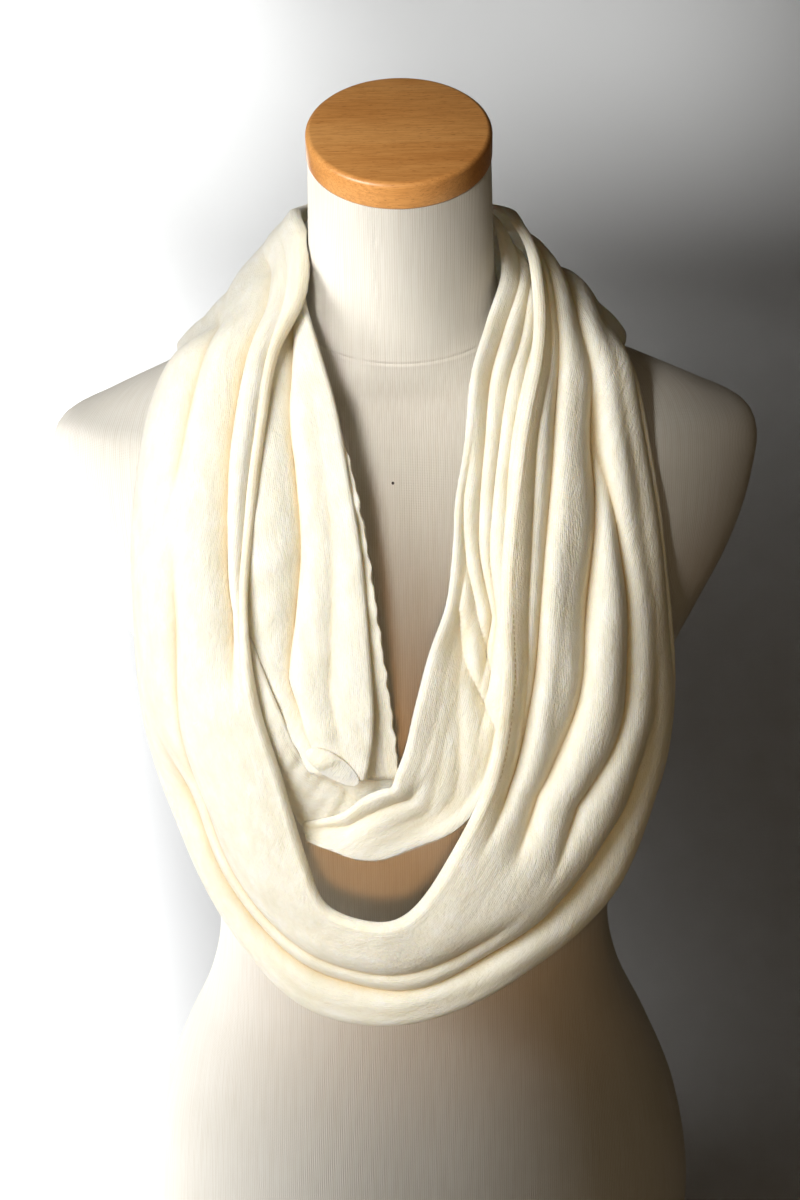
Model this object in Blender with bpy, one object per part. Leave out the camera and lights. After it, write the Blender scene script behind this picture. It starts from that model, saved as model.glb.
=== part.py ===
"""An infinity scarf wound twice round a limbless, table-top dress form.

The scarf is one long loop of soft jersey.  It is worn as two turns: a short inner
turn that is tucked and crossed at mid chest, and a long outer turn that hangs to the
waist.  Each stretch of each turn that shows is a cloth wall of its own, lofted
through the sections named below and gathered by the folds named below.

Metres, +Z up.  The origin is the middle of the form's flat base.  The front of the
form faces -Y.  The tables are in millimetres and degrees.
"""

import math

import bmesh
import bpy
import numpy as np

MM = 0.001

# ---------------------------------------------------------------- driving sizes (mm)

WALL = 1.8               # thickness of the cloth wall
SEAM_GAP = 0.3           # air left between two stretches that are one cloth
CAP_DIAMETER = 103.2     # wooden neck cap
CAP_THICKNESS = 17.0
CAP_EDGE = 2.6           # radius of the cap's rounded rims
CAP_TILT = 24.6          # degrees that the neck's cut leans to the front
CAP_CENTRE = (0.0, -30.0, 712.0)  # middle of the cap's top face
SHARP_ANGLE = 60.0       # degrees between two faces of the form from which their edge is sharp
RIM_ANGLE = 80.0         # the same for the cloth, so that only its cut rims are sharp
RING_SIDES = 40          # corners of each ring of the form
TURNED_SIDES = 48        # corners of the turned cap

# Rings of the form, from the base up.  z and y place the middle of a ring, half is
# half its width, front and back are its depths from the middle, power is how square
# its outline is (2 is an ellipse), tilt leans it to the front.
FORM_RINGS = (
    # z,    y,   half, front, back, power, tilt
    (0.0,   0.0, 165.0, 116.0, 122.0, 2.30, 0.0),
    (6.0,   0.0, 169.0, 119.5, 125.5, 2.30, 0.0),
    (45.0,  0.0, 171.0, 122.0, 127.0, 2.30, 0.0),
    (95.0,  0.0, 163.0, 118.0, 120.0, 2.25, 0.0),
    (140.0, 0.0, 146.0, 106.0, 106.0, 2.25, 0.0),
    (180.0, 0.0, 128.0, 96.0,  92.0,  2.25, 0.0),
    (218.0, 0.0, 120.0, 92.0,  86.0,  2.25, 0.0),
    (250.0, 0.0, 122.5, 96.0,  88.0,  2.20, 0.0),
    (290.0, 0.0, 131.0, 107.0, 95.0,  2.15, 0.0),
    (330.0, 0.0, 140.5, 118.0, 101.0, 2.10, 0.0),
    (365.0, 0.0, 148.0, 122.0, 105.0, 2.05, 0.0),
    (397.0, 0.0, 157.0, 117.0, 107.0, 2.00, 0.0),
    (428.0, 0.0, 173.0, 107.0, 107.0, 1.95, 0.0),
    (458.0, 0.0, 188.5, 96.0,  105.0, 1.95, 0.0),
    (484.0, 0.0, 198.0, 87.0,  101.0, 2.00, 0.0),
    (508.0, 1.0, 203.5, 78.0,  95.0,  2.05, 1.0),
    (527.0, 2.0, 205.5, 71.0,  88.0,  2.10, 2.0),
    (541.0, 4.0, 200.0, 65.0,  80.0,  2.10, 4.0),
    (551.0, 5.0, 180.0, 61.0,  75.0,  2.00, 6.0),
    (562.0, 6.0, 154.0, 59.0,  70.0,  1.95, 8.0),
    (574.0, 6.0, 123.0, 58.0,  66.0,  1.90, 11.0),
    (586.0, 4.0, 92.0,  58.0,  61.0,  1.90, 15.0),
    (597.0, 1.0, 68.0,  57.0,  57.0,  2.00, 19.0),
    (610.0, -3.0, 57.0, 54.0,  54.0,  2.00, 21.0),
    (632.0, -8.0, 53.0, 51.0,  52.0,  2.00, 23.0),
    (664.0, -15.5, 51.8, 50.5, 51.0,  2.00, 24.6),
    (696.2, -22.8, 51.0, 50.5, 50.5,  2.00, 24.6),
)

# Sections across the outer turn, in order round the wearer: over the right shoulder
# (the viewer's right), down the front, across the bottom, up the left front, over the
# left shoulder and behind the neck.  "in" is the edge nearer the neck, "out" the other
# edge.  front says how far a section faces straight ahead (1) or away from the body
# (0), bow is how far its middle stands out, and tuck is how much cloth turns under
# past the outer edge.
OUTER_SECTIONS = (
    # name,  in x,  y,   z,    out x, y,   z,   front, bow, tuck
    ("back",  0.0,  90.0, 654.0,  0.0,  116.0, 547.0, 0.0, 16.0, 10.0),
    ("rb2",  35.0,  81.0, 653.0,  64.0, 106.0, 551.0, 0.0, 16.0, 10.0),
    ("rb1",  61.0,  57.0, 652.0, 110.0, 77.0,  559.0, 0.0, 9.0,  6.0),
    ("rs",   67.0,  18.0, 653.0, 128.5, 30.0,  580.0, 0.0, 4.0,  4.0),
    ("r1",   75.0, -14.0, 642.0, 127.5, -5.0,  582.5, 0.1, 4.0,  5.5),
    ("r2",   76.0, -44.0, 619.0, 126.0, -24.0, 584.0, 0.3, 4.0,  9.0),
    ("r3",   72.0, -68.0, 595.0, 131.0, -38.0, 574.0, 0.8, 3.0, 10.0),
    ("r4",   63.0, -94.0, 560.0, 137.0, -57.0, 539.0, 1.0, 0.0, 8.0),
    ("r5",   56.0, -113.0, 517.0, 144.0, -69.0, 492.0, 1.0, 0.0, 6.0),
    ("r6",   51.0, -131.0, 472.0, 149.0, -73.0, 440.0, 1.0, 0.0, 9.0),
    ("r7",   50.0, -142.0, 423.0, 152.0, -70.0, 382.0, 1.0, 0.0, 14.0),
    ("r8",   41.0, -150.0, 371.0, 142.0, -76.0, 330.0, 1.0, 0.0, 15.0),
    ("r9",   20.0, -155.0, 327.0, 113.0, -95.0, 275.0, 1.0, 0.0, 16.0),
    ("r10",  -2.0, -156.0, 295.0, 51.0, -125.0, 232.0, 1.0, 0.0, 16.0),
    ("mid", -23.0, -155.0, 288.0, -10.0, -137.0, 214.0, 1.0, 0.0, 16.0),
    ("l10", -50.0, -150.0, 296.0, -67.0, -130.0, 225.0, 1.0, 0.0, 16.0),
    ("l9",  -61.0, -145.0, 323.0, -111.0, -108.0, 269.0, 1.0, 0.0, 16.0),
    ("l8",  -73.0, -140.0, 371.0, -142.0, -84.0, 335.0, 1.0, 0.0, 15.0),
    ("l7",  -85.0, -135.0, 416.0, -155.0, -74.0, 389.0, 1.0, 0.0, 14.0),
    ("l6",  -90.0, -127.0, 467.0, -156.0, -70.0, 449.0, 1.0, 0.0, 11.0),
    ("l5",  -85.0, -114.0, 520.0, -154.0, -65.0, 498.0, 1.0, 0.0, 6.0),
    ("l4",  -78.0, -94.0, 568.0, -145.0, -50.0, 553.0, 1.0, 0.0, 8.0),
    ("l3",  -71.0, -70.0, 601.0, -134.0, -33.0, 582.0, 0.8, 2.0, 11.0),
    ("l2",  -57.0, -46.0, 627.0, -124.0, -18.0, 588.0, 0.3, 4.0,  10.0),
    ("l1",  -56.0, -18.0, 649.0, -128.0, -5.0, 582.0, 0.1, 2.0,  6.0),
    ("ls",  -60.0, 16.0, 657.0, -129.0, 30.0, 579.0, 0.0, 2.0,  4.0),
    ("lb1", -58.0, 57.0, 654.0, -110.0, 77.0, 559.0, 0.0, 9.0,  6.0),
    ("lb2", -35.0, 81.0, 654.0, -64.0, 106.0, 551.0, 0.0, 16.0, 10.0),
)

# Folds of the outer turn.  depth is how far the crease sinks, near and far are how
# wide its two flanks are (towards the inner and the outer edge), and each section
# name gives its place across, from 0 at the inner edge to 1 at the outer.
OUTER_FOLDS = (
    # name, depth, near, far, places across
    ("line_a", 12.0, 7.0, 12.0, dict(lb2=0.30, lb1=0.31, ls=0.32, l1=0.34, l2=0.34, l3=0.34,
                                     l4=0.34, l5=0.30, l6=0.17)),
    ("tan", 4.5, 6.0, 5.0, dict(r1=0.10, r2=0.13, r3=0.15, r4=0.15, r5=0.16, r6=0.16, r7=0.13)),
    ("f2", 10.0, 8.0, 6.0, dict(rb2=0.16, rb1=0.17, rs=0.19, r1=0.21, r2=0.24, r3=0.25, r4=0.27,
                               r5=0.26, r6=0.23, r7=0.18, r8=0.12)),
    ("f3", 12.0, 10.0, 7.0, dict(back=0.36, rb2=0.38, rb1=0.41, rs=0.44, r1=0.48, r2=0.53, r3=0.62,
                               r4=0.62, r5=0.58, r6=0.52, r7=0.44, r8=0.32)),
    ("f5", 8.0, 7.0, 6.0, dict(r5=0.73, r6=0.76, r7=0.70, r8=0.57, r9=0.43)),
    ("low", 7.0, 7.5, 6.0, dict(r10=0.52, mid=0.50, l10=0.50, l9=0.66, l8=0.72, l7=0.70, l6=0.66)),
    ("notch", 6.0, 8.0, 7.0, dict(lb2=0.58, lb1=0.60, ls=0.62, l1=0.66, l2=0.70, l3=0.72,
                                  l4=0.72)),
    ("f4_side", 5.0, 9.0, 7.0, dict(back=0.66, rb2=0.68, rb1=0.70, rs=0.73, r1=0.76, r2=0.79,
                                    r3=0.85, r4=0.89, r5=0.91, r6=0.91, r7=0.89)),
    ("f4", 12.0, 10.0, 8.0, dict(r8=0.86, r9=0.77, r10=0.71, mid=0.68, l10=0.68, l9=0.82,
                                 l8=0.86)),
)

# Sections across the inner turn's right stretch: over the right shoulder, down as a
# narrow gathered strand, then opening into the panel that sweeps across the chest to
# its tip under the outer turn.
INNER_RIGHT_SECTIONS = (
    # name,  in x,  y,   z,    out x, y,   z,   front, bow
    ("lp2", -57.0, -12.0, 631.0, -87.0, -10.0, 600.0, 0.3, 2.0),
    ("ls",  -56.0,  12.0, 646.0, -88.0, 16.0, 594.0, 0.0, 3.0),
    ("lb1", -49.0,  36.0, 653.0, -80.0, 52.0, 588.5, 0.0, 4.0),
    ("lb2", -29.0,  52.0, 660.0, -46.0, 78.0, 576.0, 0.0, 4.0),
    ("back",  0.0,  57.0, 662.0,  0.0,  87.0, 572.0, 0.0, 4.0),
    ("b2",   29.0,  52.0, 660.0,  46.0, 78.0, 576.0, 0.0, 4.0),
    ("b1",   49.0,  36.0, 653.0,  80.0, 52.0, 588.5, 0.0, 4.0),
    ("s",    57.0,  14.0, 646.0,  88.0, 17.0, 594.0, 0.0, 3.0),
    ("a2",   57.0, -20.0, 629.0,  84.0, -18.0, 611.0, 0.3, 3.0),
    ("a3",   48.0, -44.0, 608.0,  84.0, -38.0, 594.0, 0.8, 1.0),
    ("a4",   38.0, -68.0, 584.0,  78.0, -62.0, 577.0, 1.0, 0.0),
    ("a5",   33.0, -87.0, 550.0,  71.0, -84.0, 548.0, 1.0, 0.0),
    ("a6",   27.0, -102.0, 520.0, 66.0, -98.0, 516.0, 1.0, 0.0),
    ("a7",   25.0, -111.0, 494.0, 63.0, -109.0, 488.0, 1.0, 0.0),
    ("a8",   21.0, -119.0, 465.0, 61.0, -117.0, 452.0, 1.0, 0.0),
    ("a9",   11.0, -126.0, 438.0, 59.0, -123.0, 422.0, 1.0, 0.0),
    ("a10",   3.0, -131.0, 410.0, 54.0, -128.0, 392.0, 1.0, 0.0),
    ("a11",  -3.0, -136.0, 386.0, 47.0, -132.0, 363.0, 1.0, 0.0),
    ("a12",  -8.0, -139.0, 373.0, 36.0, -134.0, 347.0, 1.0, 0.0),
    ("a13", -11.0, -141.0, 366.0, 21.0, -136.0, 334.0, 1.0, 0.0),
    ("a14", -17.0, -141.0, 364.0, -1.0, -138.0, 326.0, 1.0, 0.0),
    ("a15", -27.0, -140.0, 359.0, -20.0, -139.0, 321.0, 1.0, 0.0),
    ("a16", -39.0, -138.0, 349.0, -37.0, -138.0, 323.0, 1.0, 0.0),
    ("a17", -51.0, -134.0, 343.0, -50.0, -135.0, 329.0, 1.0, 0.0),
    ("tip", -63.0, -130.0, 338.5, -62.0, -130.0, 333.5, 1.0, 0.0),
)

INNER_RIGHT_FOLDS = (
    # name, depth, near, far, places across
    ("pouch", 5.0, 6.0, 3.0, dict(a8=0.16, a9=0.43, a10=0.86)),
    ("v1a", 4.0, 4.0, 3.0, dict(a6=0.10, a7=0.15, a8=0.41, a9=0.72)),
    ("v1", 6.5, 5.0, 3.0, dict(back=0.26, b2=0.26, b1=0.27, s=0.30, a2=0.31, a3=0.26, a4=0.25,
                               a5=0.27, a6=0.33, a7=0.38, a8=0.62)),
    ("v2", 4.5, 4.0, 3.0, dict(b2=0.55, b1=0.54, s=0.54, a2=0.55, a3=0.54, a4=0.50, a5=0.48,
                               a6=0.51, a7=0.54, a8=0.72)),
    ("trough", 5.0, 8.0, 7.0, dict(a9=0.36, a10=0.47, a11=0.59, a12=0.70)),
    ("side", 3.0, 7.0, 6.0, dict(a11=0.38, a12=0.47, a13=0.60)),
    ("neck_of_tip", 5.0, 5.0, 5.0, dict(a14=0.30, a15=0.30, a16=0.34)),
)

# Sections across the inner turn's left stretch: over the left shoulder and down as a
# smooth panel that ends in its hem above the crossing.
INNER_LEFT_SECTIONS = (
    # name,  in x,  y,   z,    out x, y,   z,   front, bow
    ("b1",  -49.0,  36.0, 653.0, -80.0, 52.0, 588.5, 0.0, 4.0),
    ("s",   -56.0,  12.0, 646.0, -88.0, 16.0, 594.0, 0.0, 3.0),
    ("p2",  -57.0, -12.0, 631.0, -87.0, -10.0, 600.0, 0.3, 2.0),
    ("p3",  -55.0, -34.0, 618.0, -86.0, -24.0, 601.0, 0.8, 0.0),
    ("p4",  -47.0, -62.0, 598.0, -84.0, -46.0, 590.0, 1.0, 0.0),
    ("p5",  -38.0, -86.0, 571.0, -88.0, -70.0, 566.0, 1.0, 0.0),
    ("p6",  -32.0, -103.0, 538.0, -96.0, -86.0, 533.0, 1.0, 0.0),
    ("p7",  -26.0, -117.0, 499.0, -100.0, -98.0, 496.0, 1.0, 0.0),
    ("p8",  -23.0, -128.0, 456.0, -93.0, -106.0, 456.0, 1.0, 0.0),
    ("p9",  -21.0, -137.0, 416.0, -84.0, -114.0, 431.0, 1.0, 0.0),
    ("p10", -22.0, -140.0, 392.0, -70.5, -124.0, 402.0, 1.0, 0.0),
    ("hem", -26.0, -141.0, 371.0, -56.0, -137.5, 375.0, 1.0, 0.0),
)

INNER_LEFT_FOLDS = (
    # name, depth, near, far, places across
    ("trough", 4.0, 7.0, 6.0, dict(p7=0.20, p8=0.28, p9=0.36)),
    ("crease", 7.0, 5.0, 7.0, dict(p3=0.36, p4=0.49, p5=0.56, p6=0.51, p7=0.49, p8=0.60, p9=0.76)),
)

# Sections across the strip of the same panel that is folded back under its right edge.
UNDER_LEFT_SECTIONS = (
    # name,  in x,  y,   z,    out x, y,   z,   front, bow
    ("p4",  -51.0, -56.5, 597.0, -57.5, -52.3, 595.5, 1.0, 0.0),
    ("p5",  -40.0, -80.0, 571.0, -50.5, -76.5, 569.0, 1.0, 0.0),
    ("p6",  -29.5, -97.0, 539.0, -45.0, -94.0, 537.0, 1.0, 0.0),
    ("p7",  -23.0, -110.0, 500.0, -41.0, -107.0, 498.0, 1.0, 0.0),
    ("p8",  -18.0, -120.0, 457.0, -37.0, -117.0, 456.0, 1.0, 0.0),
    ("p9",  -13.0, -126.0, 417.0, -36.0, -125.0, 416.0, 1.0, 0.0),
    ("p10", -10.0, -129.0, 394.0, -36.0, -129.0, 394.0, 1.0, 0.0),
    ("hem",  -7.0, -131.0, 367.5, -32.0, -131.5, 368.5, 1.0, 0.0),
)

# Sections across the band that crosses under the tip of the panel.
CROSSING_SECTIONS = (
    # name, in x, y,   z,    out x, y,   z,   front, bow
    ("c1",  -88.0, -117.1, 449.0, -102.0, -105.4, 437.0, 1.0, 0.0),
    ("c2",  -82.0, -124.0, 432.0, -95.0, -112.0, 418.0, 1.0, 0.0),
    ("c3",  -71.0, -131.0, 404.0, -85.0, -119.0, 388.0, 1.0, 0.0),
    ("c4",  -62.5, -131.0, 383.0, -76.0, -121.0, 367.0, 1.0, 0.0),
    ("c5",  -51.0, -129.5, 371.0, -69.0, -120.0, 348.0, 1.0, 0.0),
    ("c6",  -38.0, -127.5, 365.0, -59.0, -119.0, 331.0, 1.0, 0.0),
    ("c7",  -25.0, -126.5, 365.0, -41.0, -121.0, 325.0, 1.0, 0.0),
    ("c8",   -6.0, -126.0, 366.0, -19.0, -122.0, 327.0, 1.0, 0.0),
)

CROSSING_FOLDS = (
    # name, depth, near, far, places across
    ("sliver", 2.0, 4.0, 4.0, dict(c6=0.12, c7=0.34, c8=0.40)),
)


# ---------------------------------------------------------------- materials


def principled(name, colour, roughness, metallic=0.0):
    """A Principled material of one colour."""
    material = bpy.data.materials.new(name)
    material.use_nodes = True
    shader = material.node_tree.nodes["Principled BSDF"]
    shader.inputs["Base Color"].default_value = (*colour, 1.0)
    shader.inputs["Roughness"].default_value = roughness
    shader.inputs["Metallic"].default_value = metallic
    return material


# ---------------------------------------------------------------- meshes


def new_object(name, points, faces, material, sharp_angle):
    """A mesh object from points in metres, with its faces turned outwards."""
    mesh = bpy.data.meshes.new(name)
    mesh.from_pydata([tuple(p) for p in points], [], faces)
    work = bmesh.new()
    work.from_mesh(mesh)
    bmesh.ops.recalc_face_normals(work, faces=work.faces)
    work.to_mesh(mesh)
    work.free()
    mesh.shade_smooth()
    mesh.set_sharp_from_angle(angle=math.radians(sharp_angle))
    mesh.materials.append(material)
    item = bpy.data.objects.new(name, mesh)
    bpy.context.scene.collection.objects.link(item)
    return item


def hermite(knots, rows, at, closed):
    """Rows of numbers read off a smooth curve through them, at places along the knots."""
    count = len(rows)
    slopes = np.zeros_like(rows)
    span = knots[-1] - knots[0]
    for i in range(count):
        before, after = i - 1, i + 1
        if closed and i in (0, count - 1):
            before, after = count - 2, 1
            gap_before = knots[-1] - knots[-2]
            gap_after = knots[1] - knots[0]
        else:
            before, after = max(before, 0), min(after, count - 1)
            gap_before = knots[i] - knots[before]
            gap_after = knots[after] - knots[i]
        slopes[i] = (rows[after] - rows[before]) / (gap_before + gap_after)
    at = np.clip(at, knots[0], knots[0] + span)
    cell = np.clip(np.searchsorted(knots, at, side="right") - 1, 0, count - 2)
    gap = knots[cell + 1] - knots[cell]
    s = ((at - knots[cell]) / gap)[:, None]
    gap = gap[:, None]
    return (
        (2 * s**3 - 3 * s**2 + 1) * rows[cell]
        + (s**3 - 2 * s**2 + s) * gap * slopes[cell]
        + (3 * s**2 - 2 * s**3) * rows[cell + 1]
        + (s**3 - s**2) * gap * slopes[cell + 1]
    )


# ---------------------------------------------------------------- the dress form


def form_ring(z, y, half, front, back, power, tilt):
    """The corners of one ring of the form, in metres."""
    ring = []
    lean = math.radians(tilt)
    for k in range(RING_SIDES):
        angle = 2 * math.pi * k / RING_SIDES
        c, s = math.cos(angle), math.sin(angle)
        across = math.copysign(abs(c) ** (2 / power), c) * half
        deep = math.copysign(abs(s) ** (2 / power), s) * (back if s > 0 else front)
        ring.append((
            across * MM,
            (y + deep * math.cos(lean)) * MM,
            (z + deep * math.sin(lean)) * MM,
        ))
    return ring


def build_form(material):
    """The torso and neck: one smooth loft with a flat base and a flat cut at the neck."""
    rings = [form_ring(*row) for row in FORM_RINGS]
    points = [corner for ring in rings for corner in ring]
    faces = [tuple(range(RING_SIDES))]
    for level in range(len(rings) - 1):
        low, high = level * RING_SIDES, (level + 1) * RING_SIDES
        for k in range(RING_SIDES):
            nxt = (k + 1) % RING_SIDES
            faces.append((low + k, low + nxt, high + nxt, high + k))
    top = (len(rings) - 1) * RING_SIDES
    faces.append(tuple(top + k for k in range(RING_SIDES)))
    return new_object("form_body", points, faces, material, SHARP_ANGLE)


def build_cap(material):
    """The turned wooden cap on the neck, with rounded rims."""
    radius, thick, edge = CAP_DIAMETER / 2, CAP_THICKNESS, CAP_EDGE
    profile = [(radius - edge * 0.6, -thick), (radius, -thick + edge * 0.6)]
    for step in range(4):
        turn = math.radians(30.0 * step)
        profile.append((radius - edge + edge * math.cos(turn), -edge + edge * math.sin(turn)))
    lean = math.radians(CAP_TILT)
    points, faces = [], []
    for reach, height in profile:
        for k in range(TURNED_SIDES):
            angle = 2 * math.pi * k / TURNED_SIDES
            x, deep = reach * math.cos(angle), reach * math.sin(angle)
            y = deep * math.cos(lean) - height * math.sin(lean)
            z = deep * math.sin(lean) + height * math.cos(lean)
            points.append(tuple((c + v) * MM for c, v in zip(CAP_CENTRE, (x, y, z))))
    for level in range(len(profile) - 1):
        low, high = level * TURNED_SIDES, (level + 1) * TURNED_SIDES
        for k in range(TURNED_SIDES):
            nxt = (k + 1) % TURNED_SIDES
            faces.append((low + k, low + nxt, high + nxt, high + k))
    faces.append(tuple(range(TURNED_SIDES)))
    last = (len(profile) - 1) * TURNED_SIDES
    faces.append(tuple(last + k for k in range(TURNED_SIDES)))
    return new_object("neck_cap", points, faces, material, SHARP_ANGLE)


# ---------------------------------------------------------------- cloth


class Turn:
    """One turn of the scarf: its sections, its folds, and the surface through them."""

    def __init__(self, sections, folds, side=1.0, closed=False):
        self.side = side  # 1 where the wearer's outside is on the right of the way along
        self.names = [row[0] for row in sections]
        rows = np.array([row[1:] for row in sections], dtype=float)
        if rows.shape[1] == 8:
            rows = np.hstack([rows, np.zeros((len(rows), 1))])
        self.tucked = rows[:, 8].max() > 0
        if closed:
            rows = np.vstack([rows, rows[:1]])
            self.names = self.names + [self.names[0] + "_again"]
        self.rows, self.closed = rows, closed
        middle = (rows[:, 0:3] + rows[:, 3:6]) / 2
        steps = np.linalg.norm(np.diff(middle, axis=0), axis=1)
        edge = np.linalg.norm(np.diff(rows[:, 3:6], axis=0), axis=1)
        self.knots = np.concatenate([[0.0], np.cumsum((steps + edge) / 2)])
        self.folds = folds

    def place(self, name):
        """How far along the turn a named section is, in mm."""
        return self.knots[self.names.index(name)]

    def edges(self, along):
        """The edges, facing weight, bow and tuck of the sections at places along the turn."""
        if self.closed:
            along = along % self.knots[-1]
        rows = hermite(self.knots, self.rows, along, self.closed)
        front = np.clip(rows[:, 6], 0.0, 1.0)
        return rows[:, 0:3], rows[:, 3:6], front, rows[:, 7], rows[:, 8]

    def fold_lines(self, along):
        """For each fold: its places across, its strengths along the turn, and its row."""
        lines = []
        length = self.knots[-1]
        for row in self.folds:
            known = sorted((self.place(key), value) for key, value in row[4].items())
            knots = np.array([k for k, _ in known])
            values = np.array([[v] for _, v in known])
            where = along
            if self.closed:
                gaps = np.diff(np.append(knots, knots[0] + length))
                first = (int(np.argmax(gaps)) + 1) % len(knots)
                knots = np.concatenate([knots[first:], knots[:first] + length])
                values = np.concatenate([values[first:], values[:first]])
                middle = (knots[0] + knots[-1]) / 2
                where = along + length * np.round((middle - along) / length)
            across = hermite(knots, values, where, False)[:, 0]
            outside = np.maximum(knots[0] - where, where - knots[-1])
            strength = np.clip(1.0 - outside / FOLD_FADE, 0.0, 1.0)
            lines.append((across, strength**2 * (3 - 2 * strength), row))
        return lines


FOLD_FADE = 60.0    # mm over which a fold dies out past its last section
EDGE_ROLL = 6.0     # mm that the outer turn's folded inner edge turns back to the body
INNER_ROLL = 3.5    # the same for the inner turn
OUTER_BEND = 5.0    # mm before the outer edge where its last row of points lies
BEND_SHARE = 0.1    # the most of a section's width that the outer bend may take
LEAST_CELL = 2.2    # mm between two rows of points across a section
FILLED = 0.9        # share of a narrow section that its least cells may fill
HOLD = 4.0          # how firmly a fading fold still holds its row of points
FULL_HOLD = 1.0001  # just over a fold's full strength, where it holds its row fast
EDGE_SHARE = 0.7    # where the middle row of a turned edge lies, as a share of twice its cell
TURNED_SHARE = 0.96  # how much of a quarter turn a turned edge makes
TUCK_STEPS = (0.5, 1.0)  # where the rows of points of the tucked cloth lie along the tuck
TUCK_CURL = 0.5     # how far the tucked cloth turns inwards, as a share of the tuck
PROBE = 1.0         # mm ahead and behind that a surface is measured for its normals
CREASE_ROUND = 0.35  # share of a flank over which the bottom of a crease is rounded
BACK_DEPTH = 0.5    # share of a fold's depth that is left behind the neck


def across_grid(turn, along, width, cell_steps, roll):
    """Places across each section, lined up with the folds so that creases stay clean."""
    start = np.full_like(width, max(roll, LEAST_CELL)) / width
    stop = 1.0 - np.minimum(OUTER_BEND / width, BEND_SHARE)
    stack = [np.zeros_like(width), start]
    strengths = [np.ones_like(width), np.ones_like(width)]
    for across, strength, _ in turn.fold_lines(along):
        stack.append(across)
        strengths.append(strength)
    stack += [stop, np.ones_like(width)]
    strengths += [np.ones_like(width), np.ones_like(width)]
    stack, strengths = np.array(stack), np.array(strengths)
    hold = HOLD * strengths / (FULL_HOLD - strengths)
    count = len(stack)
    bend = np.zeros((count - 2, count))
    for k in range(count - 2):
        bend[k, k:k + 3] = (1.0, -2.0, 1.0)
    even = bend.T @ bend
    for i in range(stack.shape[1]):
        stack[:, i] = np.linalg.solve(even + np.diag(hold[:, i]), hold[:, i] * stack[:, i])
    least = np.minimum(LEAST_CELL / width, FILLED / count)
    for k in range(1, count - 1):
        stack[k] = np.maximum(stack[k], stack[k - 1] + least)
    for k in range(count - 2, 0, -1):
        stack[k] = np.minimum(stack[k], stack[k + 1] - least)
    grid = []
    for k in range(count - 1):
        steps = 2 if k == 0 else cell_steps
        for step in range(steps):
            share = step / steps
            if k == 0:
                share *= EDGE_SHARE
            grid.append(stack[k] * (1 - share) + stack[k + 1] * share)
    grid.append(stack[-1])
    if turn.tucked:
        grid += [stack[-1] + step for step in TUCK_STEPS]
    return np.array(grid).T


def unit(vectors):
    """Vectors made one long."""
    return vectors / np.maximum(np.linalg.norm(vectors, axis=-1, keepdims=True), 1e-9)


def lines_across(turn, along, cell_steps, roll):
    """Points of the smooth surface under the folds, and how far the folds sink there."""
    inner, outer, front, bow, tuck = turn.edges(along)
    chord = outer - inner
    width = np.linalg.norm(chord, axis=1)
    across = across_grid(turn, along, width, cell_steps, roll)
    ahead, behind = turn.edges(along + PROBE), turn.edges(along - PROBE)
    path = ahead[0] + ahead[1] - behind[0] - behind[1]
    away = unit(np.cross(path, chord)) * turn.side
    facing = unit(front[:, None] * np.array([0.0, -1.0, 0.0]) + (1 - front[:, None]) * away)
    retreat = np.sum(chord * facing, axis=1)[:, None] * facing
    q = np.clip(across, 0.0, 1.0)[:, :, None]
    under = np.clip(across - 1.0, 0.0, 1.0)[:, :, None] * math.pi / 2
    base = (
        inner[:, None, :]
        + (chord - retreat)[:, None, :] * q
        + retreat[:, None, :] * (1.0 - np.sqrt(1.0 - q**2))
        + (facing * bow[:, None])[:, None, :] * np.sin(math.pi * q)
        - (facing * tuck[:, None])[:, None, :] * np.sin(under)
        - (unit(chord - retreat) * tuck[:, None])[:, None, :] * TUCK_CURL * (1 - np.cos(under))
    )
    sink = np.zeros(across.shape)
    tightness = (BACK_DEPTH + (1 - BACK_DEPTH) * front)[:, None]
    for places, strength, (_, depth, near, far, _) in turn.fold_lines(along):
        away_from = (across - places[:, None]) * width[:, None]
        reach = np.where(away_from < 0, near, far)
        fall = np.sqrt((away_from / reach) ** 2 + CREASE_ROUND**2) - CREASE_ROUND
        sink += depth * strength[:, None] * tightness * np.exp(-fall)
    if roll > 0:
        turn_back = np.clip(1.0 - across * width[:, None] / roll, 0.0, 1.0)
        sink += roll * (1.0 - np.sqrt(1.0 - turn_back**2 * TURNED_SHARE))
    return base, sink


def folded(turn, along, cell_steps, roll):
    """Points of the folded cloth's middle surface, in mm."""
    base, sink = lines_across(turn, along, cell_steps, roll)
    ahead, _ = lines_across(turn, along + PROBE, cell_steps, roll)
    behind, _ = lines_across(turn, along - PROBE, cell_steps, roll)
    normals = unit(np.cross(ahead - behind, np.gradient(base, axis=1))) * turn.side
    return base - normals * sink[:, :, None]


def cloth_surface(turn, start, end, steps, cell_steps, roll):
    """The middle surface of one stretch of cloth, in mm, and its outward normals."""
    along = np.linspace(start, end, steps + 1)
    surface = folded(turn, along, cell_steps, roll)
    ahead = folded(turn, along + PROBE, cell_steps, roll)
    behind = folded(turn, along - PROBE, cell_steps, roll)
    normals = unit(np.cross(ahead - behind, np.gradient(surface, axis=1))) * turn.side
    return surface, normals


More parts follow.
